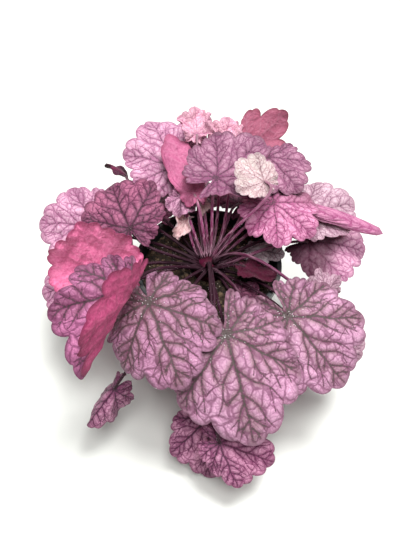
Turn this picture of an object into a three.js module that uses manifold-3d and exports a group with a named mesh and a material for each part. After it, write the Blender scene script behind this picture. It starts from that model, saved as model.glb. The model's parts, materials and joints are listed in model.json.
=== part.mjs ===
// A heuchera (coral bells) growing in a round nursery pot: the pot, its potting soil, the
// crown at soil level, and the leaves, each one solid of stalk and lobed blade.
// Millimetres, +Z up. The origin is the centre of the pot's flat underside, and the
// plant's open side, where the stalks show, faces -Y.
import * as THREE from "three";
import { mergeVertices } from "three/addons/utils/BufferGeometryUtils.js";
import Module from "manifold-3d";

const wasm = await Module();
wasm.setup();

// ---- Driving dimensions

const GAP = 0.3; // clearance between solids that touch on the real plant

const pot = {
  height: 112,
  rimRadius: 65, // outside of the lip
  lipHeight: 10,
  lipStep: 2.6, // how far the lip stands out from the wall
  baseRadius: 46,
  wall: 1.8,
  sides: 36,
  drainHoles: 6,
  drainRadius: 4.5,
  drainCircle: 31,
};

const soil = { level: 101, rough: 1.5, mound: 1, rings: 4, sides: 28 };

const crown = { radius: 14, centre: 102, rootDepth: 16, rootRadius: 12.5, sides: 20, knobs: 7 };

const stalk = { baseRadius: 1.55, tipRadius: 1.25, sides: 5, steps: 5 };

const blade = {
  thickness: 0.8,
  toothDepth: 0.055, // share of the radius cut away between two teeth
  lobeTurn: 50, // degrees from one lobe's vein to the next at the tip...
  lobeTighten: 2.5, // ...and how much closer they come towards the base
  sinusAt: 4.5, // lobe count at which the two basal lobes meet
  sinusRadius: 0.1,
  foldWidth: 0.07, // share of the size over which the midrib fold turns
};

const colours = {
  pot: 0x2b3538,
  soil: 0x2a211b,
  crown: 0x5a1238,
  leaf: 0xb56a96,
};

// ---- The leaves. at is where the stalk meets the blade and tip is the end of the middle
// lobe, both [x, y, z]. roll turns the blade about its midrib. curl droops the tip and
// back droops the basal lobes, in degrees. left and right are [fold at the midrib, roll up
// to the margin] of the two halves, seen from above with the tip away. wave is the height
// of the ruffled margin, waves their number, and pleat the puff between the main veins.
// slim narrows the side lobes, round is the smallest they get and cut the depth between
// two of them, as shares. rise is the angle above the horizon at which the stalk leaves the
// crown, arrive the one at which it meets the blade, and reach and hook are the lengths of
// its two bends as shares of the straight way. rings are the rows of facets in the blade.

const usual = {
  rise: 44,
  roll: 0,
  curl: 25,
  back: 15,
  left: [0, -8],
  right: [0, -8],
  wave: 2.5,
  waves: 5,
  phase: 0,
  pleat: 0.035,
  slim: 1.7,
  cut: 0.13,
  round: 0.4,
  arrive: 25,
  reach: 0.4,
  hook: 0.35,
  teeth: 3,
  rings: 2,
};

const leaves = {
  // over the rim in front
  leaf_front_middle: {
    at: [14, -83, 120], tip: [37, -147, 58], roll: 12,
    curl: 30, back: -10, left: [0, -35], right: [0, -44], slim: 2.7, phase: 0.6,
    rise: 24, arrive: 45,
  },
  leaf_front_left: {
    at: [-48, -60, 132], tip: [-20, -121, 102], roll: 12,
    curl: 35, left: [0, -20], right: [0, -80], phase: 2,
  },
  leaf_front_right: {
    at: [65, -63, 119], tip: [113, -104, 77], roll: 24,
    curl: 30, back: -25, left: [0, -15], right: [0, -50], slim: 1.9, phase: 4,
    rise: 24, arrive: 60,
  },
  leaf_front_under: {
    at: [59, -80, 71], tip: [75, -96, 43], roll: 0,
    curl: 10, left: [0, -40], right: [0, -40],
    arrive: 120, reach: 0.46,
    teeth: 2, rings: 1,
  },
  leaf_right_under: {
    at: [90, -52, 90], tip: [133, -69, 60], roll: 25,
    curl: 20,
    rise: 24, arrive: 110, reach: 0.5,
    rings: 1,
  },
  // hanging skirt
  leaf_skirt_middle: {
    at: [0, -116, 45], tip: [1, -154, 8], roll: -5,
    curl: 20, left: [0, -25], right: [0, -35],
    arrive: 130, reach: 0.55, hook: 0.15,
  },
  leaf_skirt_right: {
    at: [9, -142, 51], tip: [54, -152, 36], roll: 20,
    curl: 20, left: [0, -20], right: [0, -55], slim: 2.2,
    rise: 64, arrive: 160, reach: 0.35, hook: 0.15,
  },
  leaf_skirt_left: {
    at: [-79, -101, 66], tip: [-103, -121, 40], roll: -10,
    curl: 15, left: [-50, -60], right: [-50, -60],
    arrive: 110,
    rings: 1,
  },
  // left
  leaf_left_folded: {
    at: [-64, -62, 149], tip: [-99, -117, 110], roll: -20,
    curl: 25, left: [116, 10], right: [0, -10], cut: 0.18, phase: 1,
    arrive: 80,
  },
  leaf_left_upturned: {
    at: [-95, -20, 126], tip: [-104, -9, 168], roll: 152,
    curl: 35, slim: 1.2, round: 0.85, cut: 0.1, wave: 4, phase: 1,
    arrive: 90,
  },
  leaf_left_low: {
    at: [-100, -9, 98], tip: [-152, -4, 70], roll: -25,
    curl: 20, phase: 2,
    rise: 24, arrive: 110, reach: 0.5,
    rings: 1,
  },
  leaf_left_outer: {
    at: [-99, 32, 124], tip: [-156, 45, 113], roll: -25,
    curl: 25, phase: 3,
  },
  leaf_left_back: {
    at: [-68, 16, 138], tip: [-89, 70, 142], roll: -15,
    curl: 25, phase: 5,
    arrive: 65,
  },
  leaf_left_curled: {
    at: [-74, 82, 135], tip: [-96, 89, 145], roll: 40,
    curl: 60,
    arrive: 45,
    teeth: 2, rings: 1,
  },
  // back
  leaf_back_left: {
    at: [-30, 79, 152], tip: [-54, 134, 162], roll: -5,
    curl: 25, left: [0, -20], right: [0, -10], round: 0.5,
  },
  leaf_back_left_upturned: {
    at: [-12, 40, 156], tip: [-35, 100, 174], roll: 170,
    curl: 20, left: [0, 20], right: [0, 20], slim: 14, round: 0.2,
    rise: 64, arrive: 90,
    rings: 1,
  },
  leaf_young_back_left: {
    at: [-10, 100, 174], tip: [-11, 124, 186],
    curl: -10, left: [20, 20], right: [20, 20], wave: 4,
    arrive: 80,
    teeth: 2, rings: 1,
  },
  leaf_young_back_right: {
    at: [15, 97, 162], tip: [21, 124, 174],
    curl: -10, left: [20, 20], right: [20, 20], wave: 4,
    arrive: 80,
    teeth: 2, rings: 1,
  },
  leaf_back_right_upturned: {
    at: [38, 108, 150], tip: [76, 140, 168], roll: -140,
    curl: 20, slim: 3, round: 0.2, cut: 0.25,
    arrive: 90,
  },
  leaf_back_middle: {
    at: [7, 46, 170], tip: [48, 83, 183],
    curl: -15, back: -40, left: [0, 30], right: [0, 40], round: 0.5,
    rise: 64,
  },
  leaf_pale_curled: {
    at: [46, 27, 183], tip: [21, 35, 196], roll: 150,
    curl: 30,
    rise: 64, arrive: 60,
    teeth: 2, rings: 1,
  },
  leaf_back_right: {
    at: [54, 74, 168], tip: [80, 39, 159], roll: 5,
    curl: 30,
  },
  leaf_back_low_left: {
    at: [-52, 58, 114], tip: [-75, 100, 94],
    rise: 24, arrive: 110, reach: 0.75,
    teeth: 2, rings: 1,
  },
  leaf_back_low: {
    at: [-3, 78, 114], tip: [2, 122, 94],
    rise: 24, arrive: 110, reach: 0.75,
    teeth: 2, rings: 1,
  },
  leaf_back_low_right: {
    at: [30, 62, 122], tip: [60, 96, 106],
    rise: 24, arrive: 110, reach: 0.75,
    teeth: 2, rings: 1,
  },
  // right
  leaf_right_folded: {
    at: [56, 29, 156], tip: [90, 3, 142], roll: 5,
    curl: 25, left: [0, -20], right: [0, -30], slim: 1.1, round: 0.65, cut: 0.18,
    rise: 64,
  },
  leaf_right_closed: {
    at: [72, 36, 147], tip: [156, 22, 125], roll: 12,
    curl: 15, left: [-60, -20], right: [-60, -20], slim: 90, round: 0.06,
    teeth: 2, rings: 1,
  },
  leaf_right_back: {
    at: [85, 38, 132], tip: [136, 58, 127], roll: 13,
    curl: 30, slim: 2.8,
  },
  leaf_right_outer: {
    at: [91, 22, 114], tip: [145, 23, 98], roll: 15,
    curl: 40, back: -5,
    arrive: 100, reach: 0.5,
  },
  // inside
  leaf_hairy_small: {
    at: [37, 13, 112], tip: [68, 6, 114], roll: 2,
    back: 0, slim: 5, round: 0.3, cut: 0.2,
    arrive: 50,
    teeth: 2, rings: 1,
  },
  leaf_inner_dark: {
    at: [32, -14, 121], tip: [58, -25, 123], roll: 155,
    curl: 20, back: 0,
    rise: 44, arrive: 80,
    teeth: 2, rings: 1,
  },
  leaf_inner_grey: {
    at: [27, -32, 108], tip: [44, -26, 110], roll: 0,
    curl: 5, back: 0,
    rise: 12, arrive: 70,
    teeth: 2, rings: 1,
  },
  leaf_young_purple: {
    at: [-23, 44, 150], tip: [-25, 24, 143],
    wave: 3,
    rise: 64,
    teeth: 2, rings: 1,
  },
  leaf_bud_left: {
    at: [-20, 28, 134], tip: [-26, 13, 126],
    left: [40, 60], right: [40, 60],
    rise: 44,
    teeth: 2, rings: 1,
  },
  leaf_bud_right: {
    at: [-4, 42, 143], tip: [-4, 30, 139],
    left: [40, 60], right: [40, 60],
    teeth: 2, rings: 1,
  },
  leaf_right_crumpled: {
    at: [101, -30, 106], tip: [98, -8, 113],
    cut: 0.2, wave: 3,
    rise: 64, arrive: 60, reach: 0.73,
    teeth: 2, rings: 1,
  },
};

// ---- Solids

const radians = THREE.MathUtils.degToRad;

function solidOf(geometry) {
  const bare = geometry.clone();
  bare.deleteAttribute("normal");
  bare.deleteAttribute("uv");
  const merged = mergeVertices(bare, 1e-3);
  return new wasm.Manifold(
    new wasm.Mesh({
      numProp: 3,
      vertProperties: merged.attributes.position.array,
      triVerts: new Uint32Array(merged.index.array),
    }),
  );
}

function geometryOf(solid) {
  const mesh = solid.getMesh();
  const geometry = new THREE.BufferGeometry();
  geometry.setAttribute("position", new THREE.BufferAttribute(mesh.vertProperties, 3));
  geometry.setIndex(new THREE.BufferAttribute(mesh.triVerts, 1));
  geometry.computeVertexNormals();
  return geometry;
}

function closedGeometry(points, triangles) {
  const geometry = new THREE.BufferGeometry();
  const positions = new Float32Array(points.flatMap((p) => p.toArray()));
  geometry.setAttribute("position", new THREE.BufferAttribute(positions, 3));
  geometry.setIndex(triangles.flat());
  return geometry;
}

function turned(profile, sides) {
  const points = profile.map(([r, z]) => new THREE.Vector2(r, z));
  return new THREE.LatheGeometry(points, sides).rotateX(Math.PI / 2);
}

// ---- Pot

// Outside radius of the pot's wall below the lip, at height z.
function wallRadius(z) {
  const under = pot.rimRadius - pot.lipStep;
  return THREE.MathUtils.mapLinear(z, 0, pot.height, pot.baseRadius, under);
}

function makePot() {
  const lipFoot = pot.height - pot.lipHeight;
  const inside = (z) => wallRadius(z) - pot.wall;
  const profile = [
    [0, 0],
    [pot.baseRadius, 0],
    [wallRadius(lipFoot), lipFoot],
    [pot.rimRadius - 0.8, lipFoot + 0.6],
    [pot.rimRadius, pot.height - 1],
    [pot.rimRadius - 0.9, pot.height],
    [inside(pot.height) + 0.4, pot.height],
    [inside(lipFoot), lipFoot],
    [inside(pot.wall), pot.wall],
    [0, pot.wall],
  ];
  let solid = solidOf(turned(profile, pot.sides));
  for (let i = 0; i < pot.drainHoles; i++) {
    const turn = (i / pot.drainHoles) * 2 * Math.PI;
    const hole = new THREE.CylinderGeometry(pot.drainRadius, pot.drainRadius, 3 * pot.wall, 10);
    hole.rotateX(Math.PI / 2);
    hole.translate(pot.drainCircle * Math.cos(turn), pot.drainCircle * Math.sin(turn), pot.wall / 2);
    solid = solid.subtract(solidOf(hole));
  }
  return geometryOf(solid);
}

// ---- Soil: fills the pot to a rough, slightly mounded top with a plain hole for the crown

function soilTop(radius, turn) {
  const edge = wallRadius(soil.level) - pot.wall - GAP;
  const swirl = Math.sin(3 * turn + radius / 7) + Math.sin(5 * turn - radius / 4 + 1);
  const lumps = (swirl + Math.cos(radius / 3)) / 3;
  return soil.level + soil.mound * (1 - (radius / edge) ** 2) + soil.rough * lumps;
}

function makeSoil() {
  const floor = pot.wall + GAP;
  const floorRadius = wallRadius(floor) - pot.wall - GAP;
  const edge = wallRadius(soil.level) - pot.wall - GAP;
  const points = [new THREE.Vector3(0, 0, floor)];
  const ringStart = (ring) => 1 + ring * soil.sides;
  for (let ring = 0; ring <= soil.rings; ring++) {
    for (let i = 0; i < soil.sides; i++) {
      const turn = (i / soil.sides) * 2 * Math.PI;
      // ring 0 is the edge of the floor; the others climb from the wall to the middle
      const r = ring === 0 ? floorRadius : (edge * (soil.rings + 1 - ring)) / soil.rings;
      const z = ring === 0 ? floor : soilTop(r, turn);
      points.push(new THREE.Vector3(r * Math.cos(turn), r * Math.sin(turn), z));
    }
  }
  points.push(new THREE.Vector3(0, 0, soilTop(0, 0)));
  const last = points.length - 1;
  const triangles = [];
  for (let i = 0; i < soil.sides; i++) {
    const j = (i + 1) % soil.sides;
    triangles.push([0, ringStart(0) + j, ringStart(0) + i]);
    for (let ring = 0; ring < soil.rings; ring++) {
      const [a, b] = [ringStart(ring), ringStart(ring + 1)];
      triangles.push([a + i, a + j, b + j], [a + i, b + j, b + i]);
    }
    triangles.push([ringStart(soil.rings) + i, ringStart(soil.rings) + j, last]);
  }
  const holeRadius = crown.radius + GAP;
  const holeFloor = crown.centre - crown.rootDepth - GAP;
  const hole = new THREE.CylinderGeometry(holeRadius, holeRadius, 2 * crown.rootDepth, crown.sides);
  hole.rotateX(Math.PI / 2).rotateZ(Math.PI / 2);
  hole.translate(0, 0, holeFloor + crown.rootDepth);
  return geometryOf(solidOf(closedGeometry(points, triangles)).subtract(solidOf(hole)));
}

// ---- Crown: the knobbly root stock that the stalks grow from

function makeCrown() {
  const rows = 5;
  const profile = [
    [0, crown.centre - crown.rootDepth],
    [crown.rootRadius - 0.6, crown.centre - crown.rootDepth],
    [crown.radius - 0.6, crown.centre - 4],
  ];
  for (let row = 0; row <= rows; row++) {
    const rise = (row / rows) * (Math.PI / 2);
    profile.push([crown.radius * Math.cos(rise), crown.centre + crown.radius * Math.sin(rise)]);
  }
  profile[profile.length - 1][0] = 0;
  const geometry = turned(profile, crown.sides);
  const position = geometry.attributes.position;
  for (let i = 0; i < position.count; i++) {
    const turn = Math.atan2(position.getY(i), position.getX(i));
    const height = position.getZ(i);
    const shrink = 1 - 0.03 * (1 + Math.cos(crown.knobs * turn + height / 2));
    position.setX(i, position.getX(i) * shrink);
    position.setY(i, position.getY(i) * shrink);
  }
  return geometryOf(solidOf(geometry));
}

// ---- Leaf blade. A flat point of the blade is (u, v): u along the midrib, v to its left,
// measured from the stalk. Its polar angle is counted in lobes.

function lobeAngle(lobe) {
  const l = Math.abs(lobe);
  return Math.sign(lobe) * radians(blade.lobeTurn * l - blade.lobeTighten * l * l);
}

function lobeAt(angle) {
  const degrees = Math.min(180, THREE.MathUtils.radToDeg(Math.abs(angle)));
  const root = Math.sqrt(blade.lobeTurn ** 2 - 4 * blade.lobeTighten * degrees);
  return (Math.sign(angle) * (blade.lobeTurn - root)) / (2 * blade.lobeTighten);
}

// Radius of the smooth outline, without lobes and teeth, as a share of the size.
function envelope(leaf, lobe) {
  return THREE.MathUtils.lerp(leaf.round, 1, Math.cos(lobeAngle(lobe) / 2) ** (2 * leaf.slim));
}

function outlineRadius(leaf, lobe) {
  const lobes = 1 - leaf.cut * (1 - Math.abs(Math.cos(Math.PI * lobe)) ** 0.8);
  const teeth = 1 - blade.toothDepth * (1 - Math.abs(Math.cos(Math.PI * leaf.teeth * lobe)));
  const toSinus = Math.min(1, (blade.sinusAt - Math.abs(lobe)) / 0.3);
  const sinus = THREE.MathUtils.lerp(blade.sinusRadius / envelope(leaf, lobe), 1, toSinus);
  return leaf.size * envelope(leaf, lobe) * lobes * teeth * sinus;
}

// Follows a line that turns as it goes: returns how far it got along and up, and its angle.
function turnAlong(length, angleAt) {
  const steps = 16;
  let [along, up] = [0, 0];
  for (let i = 0; i < steps; i++) {
    const angle = angleAt(((i + 0.5) / steps) * length);
    along += (Math.cos(angle) * length) / steps;
    up += (Math.sin(angle) * length) / steps;
  }
  return [along, up, angleAt(length)];
}

// The blade's middle surface in its own frame: x along the midrib, y left, z up.
function formPoint(leaf, u, v) {
  const angle = Math.atan2(v, u);
  const lobe = lobeAt(angle);
  const share = Math.hypot(u, v) / (leaf.size * envelope(leaf, lobe));
  const ruffle = leaf.wave * share ** 2 * Math.sin(leaf.waves * angle + leaf.phase);
  const pleats = Math.abs(Math.sin(Math.PI * lobe)) - 0.5;
  const lift = ruffle + leaf.pleat * leaf.size * share * (1 - 0.4 * share) * pleats;

  const [fold, roll] = (v < 0 ? leaf.right : leaf.left).map(radians);
  const width = blade.foldWidth * leaf.size;
  const leanAt = (t) => fold * (1 - Math.exp(-t / width)) + (roll * t) / leaf.size;
  const [out, up, lean] = turnAlong(Math.abs(v), leanAt);
  const y = Math.sign(v) * (out - lift * Math.sin(lean));
  const raised = up + lift * Math.cos(lean);

  const bend = -radians(u < 0 ? leaf.back : leaf.curl) / leaf.size;
  const [ahead, rise, slope] = turnAlong(Math.abs(u), (t) => bend * t);
  const x = Math.sign(u) * (ahead - raised * Math.sin(slope));
  return new THREE.Vector3(x, y, rise + raised * Math.cos(slope));
}

function formNormal(leaf, u, v) {
  const step = 0.6;
  const alongU = formPoint(leaf, u + step, v).sub(formPoint(leaf, u - step, v));
  const alongV = formPoint(leaf, u, v + step).sub(formPoint(leaf, u, v - step));
  return alongU.cross(alongV).normalize();
}

// The matrix that carries the blade's own frame to the plant's, so that its tip lands on tip.
function bladeMatrix(leaf) {
  const at = new THREE.Vector3(...leaf.at);
  const chord = new THREE.Vector3(...leaf.tip).sub(at).normalize();
  const side = new THREE.Vector3(0, 0, 1).cross(chord).normalize();
  side.applyAxisAngle(chord, radians(leaf.roll));
  const ahead = chord.clone().applyAxisAngle(side, -radians(leaf.curl) / 2);
  return new THREE.Matrix4().makeBasis(ahead, side, ahead.clone().cross(side)).setPosition(at);
}

function makeBlade(leaf, matrix) {
  const perSpoke = leaf.teeth; // margin points between two spokes
  const spokes = 4 * blade.sinusAt;
  const flat = [[0, 0]];
  const rows = [];
  for (let ring = 1; ring <= leaf.rings + 1; ring++) {
    const isMargin = ring > leaf.rings;
    const count = spokes * (isMargin ? perSpoke : 1);
    const row = [];
    for (let i = 0; i < count; i++) {
      const lobe = -blade.sinusAt + (2 * blade.sinusAt * i) / count;
      const share = 0.97 * (ring / (leaf.rings + 1)) ** 0.8;
      const inner = outlineRadius({ ...leaf, teeth: 0 }, lobe) * share;
      const r = isMargin ? outlineRadius(leaf, lobe) : inner;
      row.push(flat.length);
      flat.push([r * Math.cos(lobeAngle(lobe)), r * Math.sin(lobeAngle(lobe))]);
    }
    rows.push(row);
  }

  const face = rows[0].map((a, i) => [0, a, rows[0][(i + 1) % spokes]]);
  for (let ring = 0; ring < leaf.rings; ring++) {
    const [near, far] = [rows[ring], rows[ring + 1]];
    const each = far.length / near.length;
    const middle = Math.ceil(each / 2);
    near.forEach((a, i) => {
      const b = near[(i + 1) % spokes];
      for (let k = 0; k < each; k++) {
        const corner = k < middle ? a : b;
        face.push([corner, far[i * each + k], far[(i * each + k + 1) % far.length]]);
      }
      face.push([a, far[(i * each + middle) % far.length], b]);
    });
  }

  const half = blade.thickness / 2;
  const middlePoints = flat.map(([u, v]) => formPoint(leaf, u, v));
  const normals = flat.map(([u, v]) => formNormal(leaf, u, v).multiplyScalar(half));
  const top = middlePoints.map((p, i) => p.clone().add(normals[i]).applyMatrix4(matrix));
  const under = middlePoints.map((p, i) => p.clone().sub(normals[i]).applyMatrix4(matrix));
  const n = flat.length;
  const margin = rows[leaf.rings];
  const rim = margin.flatMap((a, i) => {
    const b = margin[(i + 1) % margin.length];
    return [
      [a, a + n, b + n],
      [a, b + n, b],
    ];
  });
  const triangles = [...face, ...face.map(([a, b, c]) => [a + n, c + n, b + n]), ...rim];
  return solidOf(closedGeometry([...top, ...under], triangles));
}

// ---- Stalk: a tapered tube from its seat on the crown to the blade

function stalkPath(leaf, matrix) {
  const rise = radians(leaf.rise);
  const out = new THREE.Vector3(
    Math.cos(rise) * Math.cos(leaf.seat),
    Math.cos(rise) * Math.sin(leaf.seat),
    Math.sin(rise),
  );
  const seat = new THREE.Vector3(0, 0, crown.centre).addScaledVector(out, crown.radius + GAP);
  const at = new THREE.Vector3(...leaf.at);
  const length = at.distanceTo(seat);
  const arrive = radians(leaf.arrive);
  const inward = new THREE.Vector3(Math.sin(arrive), 0, Math.cos(arrive)).transformDirection(matrix);
  return new THREE.CubicBezierCurve3(
    seat,
    seat.clone().addScaledVector(out, length * leaf.reach),
    at.clone().addScaledVector(inward, -length * leaf.hook),
    at,
  );
}

function makeStalk(path) {
  const frames = path.computeFrenetFrames(stalk.steps, false);
  const points = [];
  const triangles = [];
  for (let i = 0; i <= stalk.steps; i++) {
    const share = i / stalk.steps;
    const radius = THREE.MathUtils.lerp(stalk.baseRadius, stalk.tipRadius, share);
    for (let k = 0; k < stalk.sides; k++) {
      const turn = (k / stalk.sides) * 2 * Math.PI;
      const point = path.getPointAt(share);
      point.addScaledVector(frames.normals[i], radius * Math.cos(turn));
      point.addScaledVector(frames.binormals[i], radius * Math.sin(turn));
      points.push(point);
    }
  }
  const last = points.length - stalk.sides;
  for (let k = 0; k < stalk.sides; k++) {
    const next = (k + 1) % stalk.sides;
    for (let row = 0; row < last; row += stalk.sides) {
      const [a, b] = [row + k, row + next];
      triangles.push([a, b, b + stalk.sides], [a, b + stalk.sides, a + stalk.sides]);
    }
    if (k > 1) triangles.push([0, k, k - 1], [last, last + k - 1, last + k]);
  }
  return solidOf(closedGeometry(points, triangles));
}

// Seats the stalks of one rise round the crown, each towards its leaf and clear of the next.
function seatStalks(members, rise) {
  const ring = (crown.radius + GAP) * Math.cos(radians(rise));
  const spacing = (2 * stalk.baseRadius + 1.5 * GAP) / ring;
  for (const leaf of members) leaf.seat = Math.atan2(leaf.at[1], leaf.at[0]);
  members.sort((a, b) => a.seat - b.seat);
  for (let pass = 0; pass < 200; pass++) {
    members.forEach((leaf, i) => {
      const next = members[(i + 1) % members.length];
      const wrap = i === members.length - 1 ? 2 * Math.PI : 0;
      const push = Math.max(0, spacing - (next.seat + wrap - leaf.seat)) / 2;
      leaf.seat -= push;
      next.seat += push;
    });
  }
}

function makeLeaf(leaf) {
  const matrix = bladeMatrix(leaf);
  return geometryOf(makeBlade(leaf, matrix).add(makeStalk(stalkPath(leaf, matrix))));
}

// The midrib's length from the straight line between the stalk and the tip.
function bladeSize(leaf) {
  const chord = new THREE.Vector3(...leaf.at).distanceTo(new THREE.Vector3(...leaf.tip));
  const half = radians(leaf.curl) / 2;
  return half ? (chord * half) / Math.sin(half) : chord;
}

// ---- The plant

const plant = new THREE.Group();

function addPart(name, geometry, colour, roughness) {
  const material = new THREE.MeshStandardMaterial({ color: colour, roughness, metalness: 0 });
  const mesh = new THREE.Mesh(geometry, material);
  mesh.name = name;
  plant.add(mesh);
}

addPart("pot", makePot(), colours.pot, 0.5);
addPart("soil", makeSoil(), colours.soil, 0.95);
addPart("crown", makeCrown(), colours.crown, 0.6);

const grown = Object.entries(leaves).map(([name, own]) => {
  const leaf = { name, ...usual, ...own };
  leaf.size = bladeSize(leaf);
  return leaf;
});
for (const rise of new Set(grown.map((leaf) => leaf.rise))) {
  seatStalks(
    grown.filter((leaf) => leaf.rise === rise),
    rise,
  );
}
for (const leaf of grown) {
  addPart(leaf.name, makeLeaf(leaf), colours.leaf, 0.5);
}

export default plant;
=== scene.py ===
# Dresses the potted heuchera: veined leaves on hairy stalks, root crown, potting mix and pot.
import json
import math

import bpy
import bmesh
import numpy as np
from mathutils import Matrix, Vector, geometry, noise

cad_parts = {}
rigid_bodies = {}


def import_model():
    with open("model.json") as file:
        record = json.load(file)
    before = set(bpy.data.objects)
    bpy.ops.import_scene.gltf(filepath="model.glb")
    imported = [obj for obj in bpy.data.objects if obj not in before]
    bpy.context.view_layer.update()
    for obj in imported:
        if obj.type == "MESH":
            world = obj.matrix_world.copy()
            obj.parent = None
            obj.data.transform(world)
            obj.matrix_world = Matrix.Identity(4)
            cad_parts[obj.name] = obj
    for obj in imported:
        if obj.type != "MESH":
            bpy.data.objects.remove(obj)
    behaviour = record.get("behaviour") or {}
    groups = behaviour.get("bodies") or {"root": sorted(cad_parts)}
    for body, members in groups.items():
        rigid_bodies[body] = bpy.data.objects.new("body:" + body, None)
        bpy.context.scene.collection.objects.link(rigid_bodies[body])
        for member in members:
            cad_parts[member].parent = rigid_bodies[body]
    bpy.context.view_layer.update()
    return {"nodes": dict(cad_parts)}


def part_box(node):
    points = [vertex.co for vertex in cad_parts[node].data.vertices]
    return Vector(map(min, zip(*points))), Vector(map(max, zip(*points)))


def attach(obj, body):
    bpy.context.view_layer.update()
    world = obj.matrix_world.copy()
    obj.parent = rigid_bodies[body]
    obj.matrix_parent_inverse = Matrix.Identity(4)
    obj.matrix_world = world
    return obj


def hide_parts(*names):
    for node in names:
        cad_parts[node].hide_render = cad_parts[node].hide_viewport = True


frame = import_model()
print("frame loaded:", len(frame["nodes"]), "nodes")

mm = 0.001
gap = 0.3  # millimetres between solids that touch


def colour(code):
    channels = [int(code[i:i + 2], 16) / 255 for i in (0, 2, 4)]
    linear = [c / 12.92 if c < 0.04045 else ((c + 0.055) / 1.055) ** 2.4 for c in channels]
    return (*linear, 1.0)


def feed(tree, node, inputs):
    # a socket is linked to its input, and anything else is the input's own value
    for key, value in inputs.items():
        if isinstance(value, bpy.types.NodeSocket):
            tree.links.new(value, node.inputs[key])
        else:
            node.inputs[key].default_value = value


def newNode(tree, kind, inputs=None, **settings):
    node = tree.nodes.new(kind)
    for name, value in settings.items():
        setattr(node, name, value)
    feed(tree, node, inputs or {})
    return node


def outputOf(tree, kind, inputs=None, output=0, **settings):
    return newNode(tree, kind, inputs, **settings).outputs[output]


def mixed(tree, factor, first, second):
    inputs = {0: factor, 6: first, 7: second}
    return outputOf(tree, "ShaderNodeMix", inputs, 2, data_type="RGBA")


def maths(tree, operation, *values, clamp=False):
    inputs = dict(enumerate(values))
    return outputOf(tree, "ShaderNodeMath", inputs, operation=operation, use_clamp=clamp)


def summed(tree, *terms):
    parts = [maths(tree, "MULTIPLY", value, weight) for value, weight in terms]
    total = parts[0]
    for part in parts[1:]:
        total = maths(tree, "ADD", total, part)
    return total


def ramped(tree, value, low, high, start=0.0, end=1.0):
    inputs = dict(enumerate((value, low, high, start, end)))
    return outputOf(tree, "ShaderNodeMapRange", inputs, interpolation_type="SMOOTHSTEP")


def noiseAt(tree, vector, scale, detail=3, roughness=0.55, output="Fac"):
    inputs = {"Vector": vector, "Scale": scale, "Detail": detail, "Roughness": roughness}
    return outputOf(tree, "ShaderNodeTexNoise", inputs, output)


def attributeOf(tree, name, output="Fac"):
    return outputOf(tree, "ShaderNodeAttribute", None, output, attribute_name=name)


def startMaterial(name):
    material = bpy.data.materials.new(name)
    material.use_nodes = True
    tree = material.node_tree
    return material, tree, outputOf(tree, "ShaderNodeTexCoord", output="Object")


def setSkin(tree, skin, roughness, specular=0.5, relief=None, bump=(0, 0), sheen=0.0):
    # bump is the strength of the relief and its depth in metres
    shader = tree.nodes["Principled BSDF"]
    feed(tree, shader, {"Base Color": skin, "Roughness": roughness})
    feed(tree, shader, {"Specular IOR Level": specular, "Sheen Weight": sheen})
    if relief:
        inputs = {"Height": relief, "Strength": bump[0], "Distance": bump[1]}
        feed(tree, shader, {"Normal": outputOf(tree, "ShaderNodeBump", inputs)})


# In every look, a noise is its scale, detail and roughness, and a ramp runs from its first value
# to its second, with the values it gives there where it doesn't run from 0 to 1.

# A tone lists the light and deep flesh, the small and the large veins, the greyed zone along
# them, the margin, and the painted shade laid over a shaded side.
toneParts = ("light", "deep", "thin", "vein", "zone", "edge", "paintedShade")
topTones = {
    "pink": "d5a4c0 ad7898 6e3f59 4f4643 79635f 6c4b59 7f5464",
    # the next tone is the pink made darker: painted shade for a leaf that lies under another
    "dusk": "c38fad 9a6686 5e3549 463c3a 6c5653 604250 7f5464",
    "blossom": "e4b2ca c08da6 985a7d 553a47 8c637a 885670 3f1a29",
    "hot": "e6a2c2 c07a9e 94426f 4e333e 80526a 7b405d 7c5060",
    "plum": "c2759f a5658a 6b3152 46343a 6b4451 562b42 733b51",
    "mauve": "bf8ea6 96667d 7c4163 4a323e 704a5e 5a3447 5f3c49",
    "grey": "b46c88 905270 5e2845 3a212c 5c384a 50263a 5e3a4c",
    "wine": "cf96b2 ac7690 6a2f52 402635 683b54 582841 752050",
    "pale": "ddbeca b596a4 946a7f 5c454f 92707f 8c6576 97606f",
    "peach": "f2c2d0 e5aec0 bd7e98 905a78 c294a6 bd8398 b98ba0",
    "cream": "f6dcd8 ecccca cf9ba2 9c707c d9b2b6 c99ea4 d8b4b4",
    "silver": "d3c7cb b3a3a9 85727a 5c4a52 8f8087 786970 8f8087",
    "dark": "7c1f49 561233 3a0d2a 2c0f1d 4c1a38 3d0f2a 330f24",
}
underTones = {
    "candy": "ca7599 a04a71 b46688 c07b98 a25172 8c405d 853857",
    "raspberry": "ee8cb2 bd537d dc709b e68baf c25483 8e3257 a8416a",
    "magenta": "c25882 923159 ae466f bd6282 98395f 6e2342 7f264a",
    "rose": "aa5e75 974f66 a15e75 a97484 8f4f64 7f404f 864a5d",
    "maroon": "540c2a 38071a 460f28 5c1c36 3c0a22 300618 330819",
    "chalk": "e3d5d0 cdbab8 ae8b90 644c54 bfa5af a98a96 cda4b4",
}
markedUnder = ("chalk",)
# how strongly each marking shows on tops and marked undersides, and on plain undersides
markings = {
    "marked": {"zone": 0.9, "fine": 0.32, "coarse": 0.66, "edge": 0.7, "thin": 0.85, "vein": 0.95},
    "plain": {"zone": 0.35, "fine": 0.12, "coarse": 0.25, "edge": 0.8, "thin": 0.3, "vein": 0.35},
}
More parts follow.
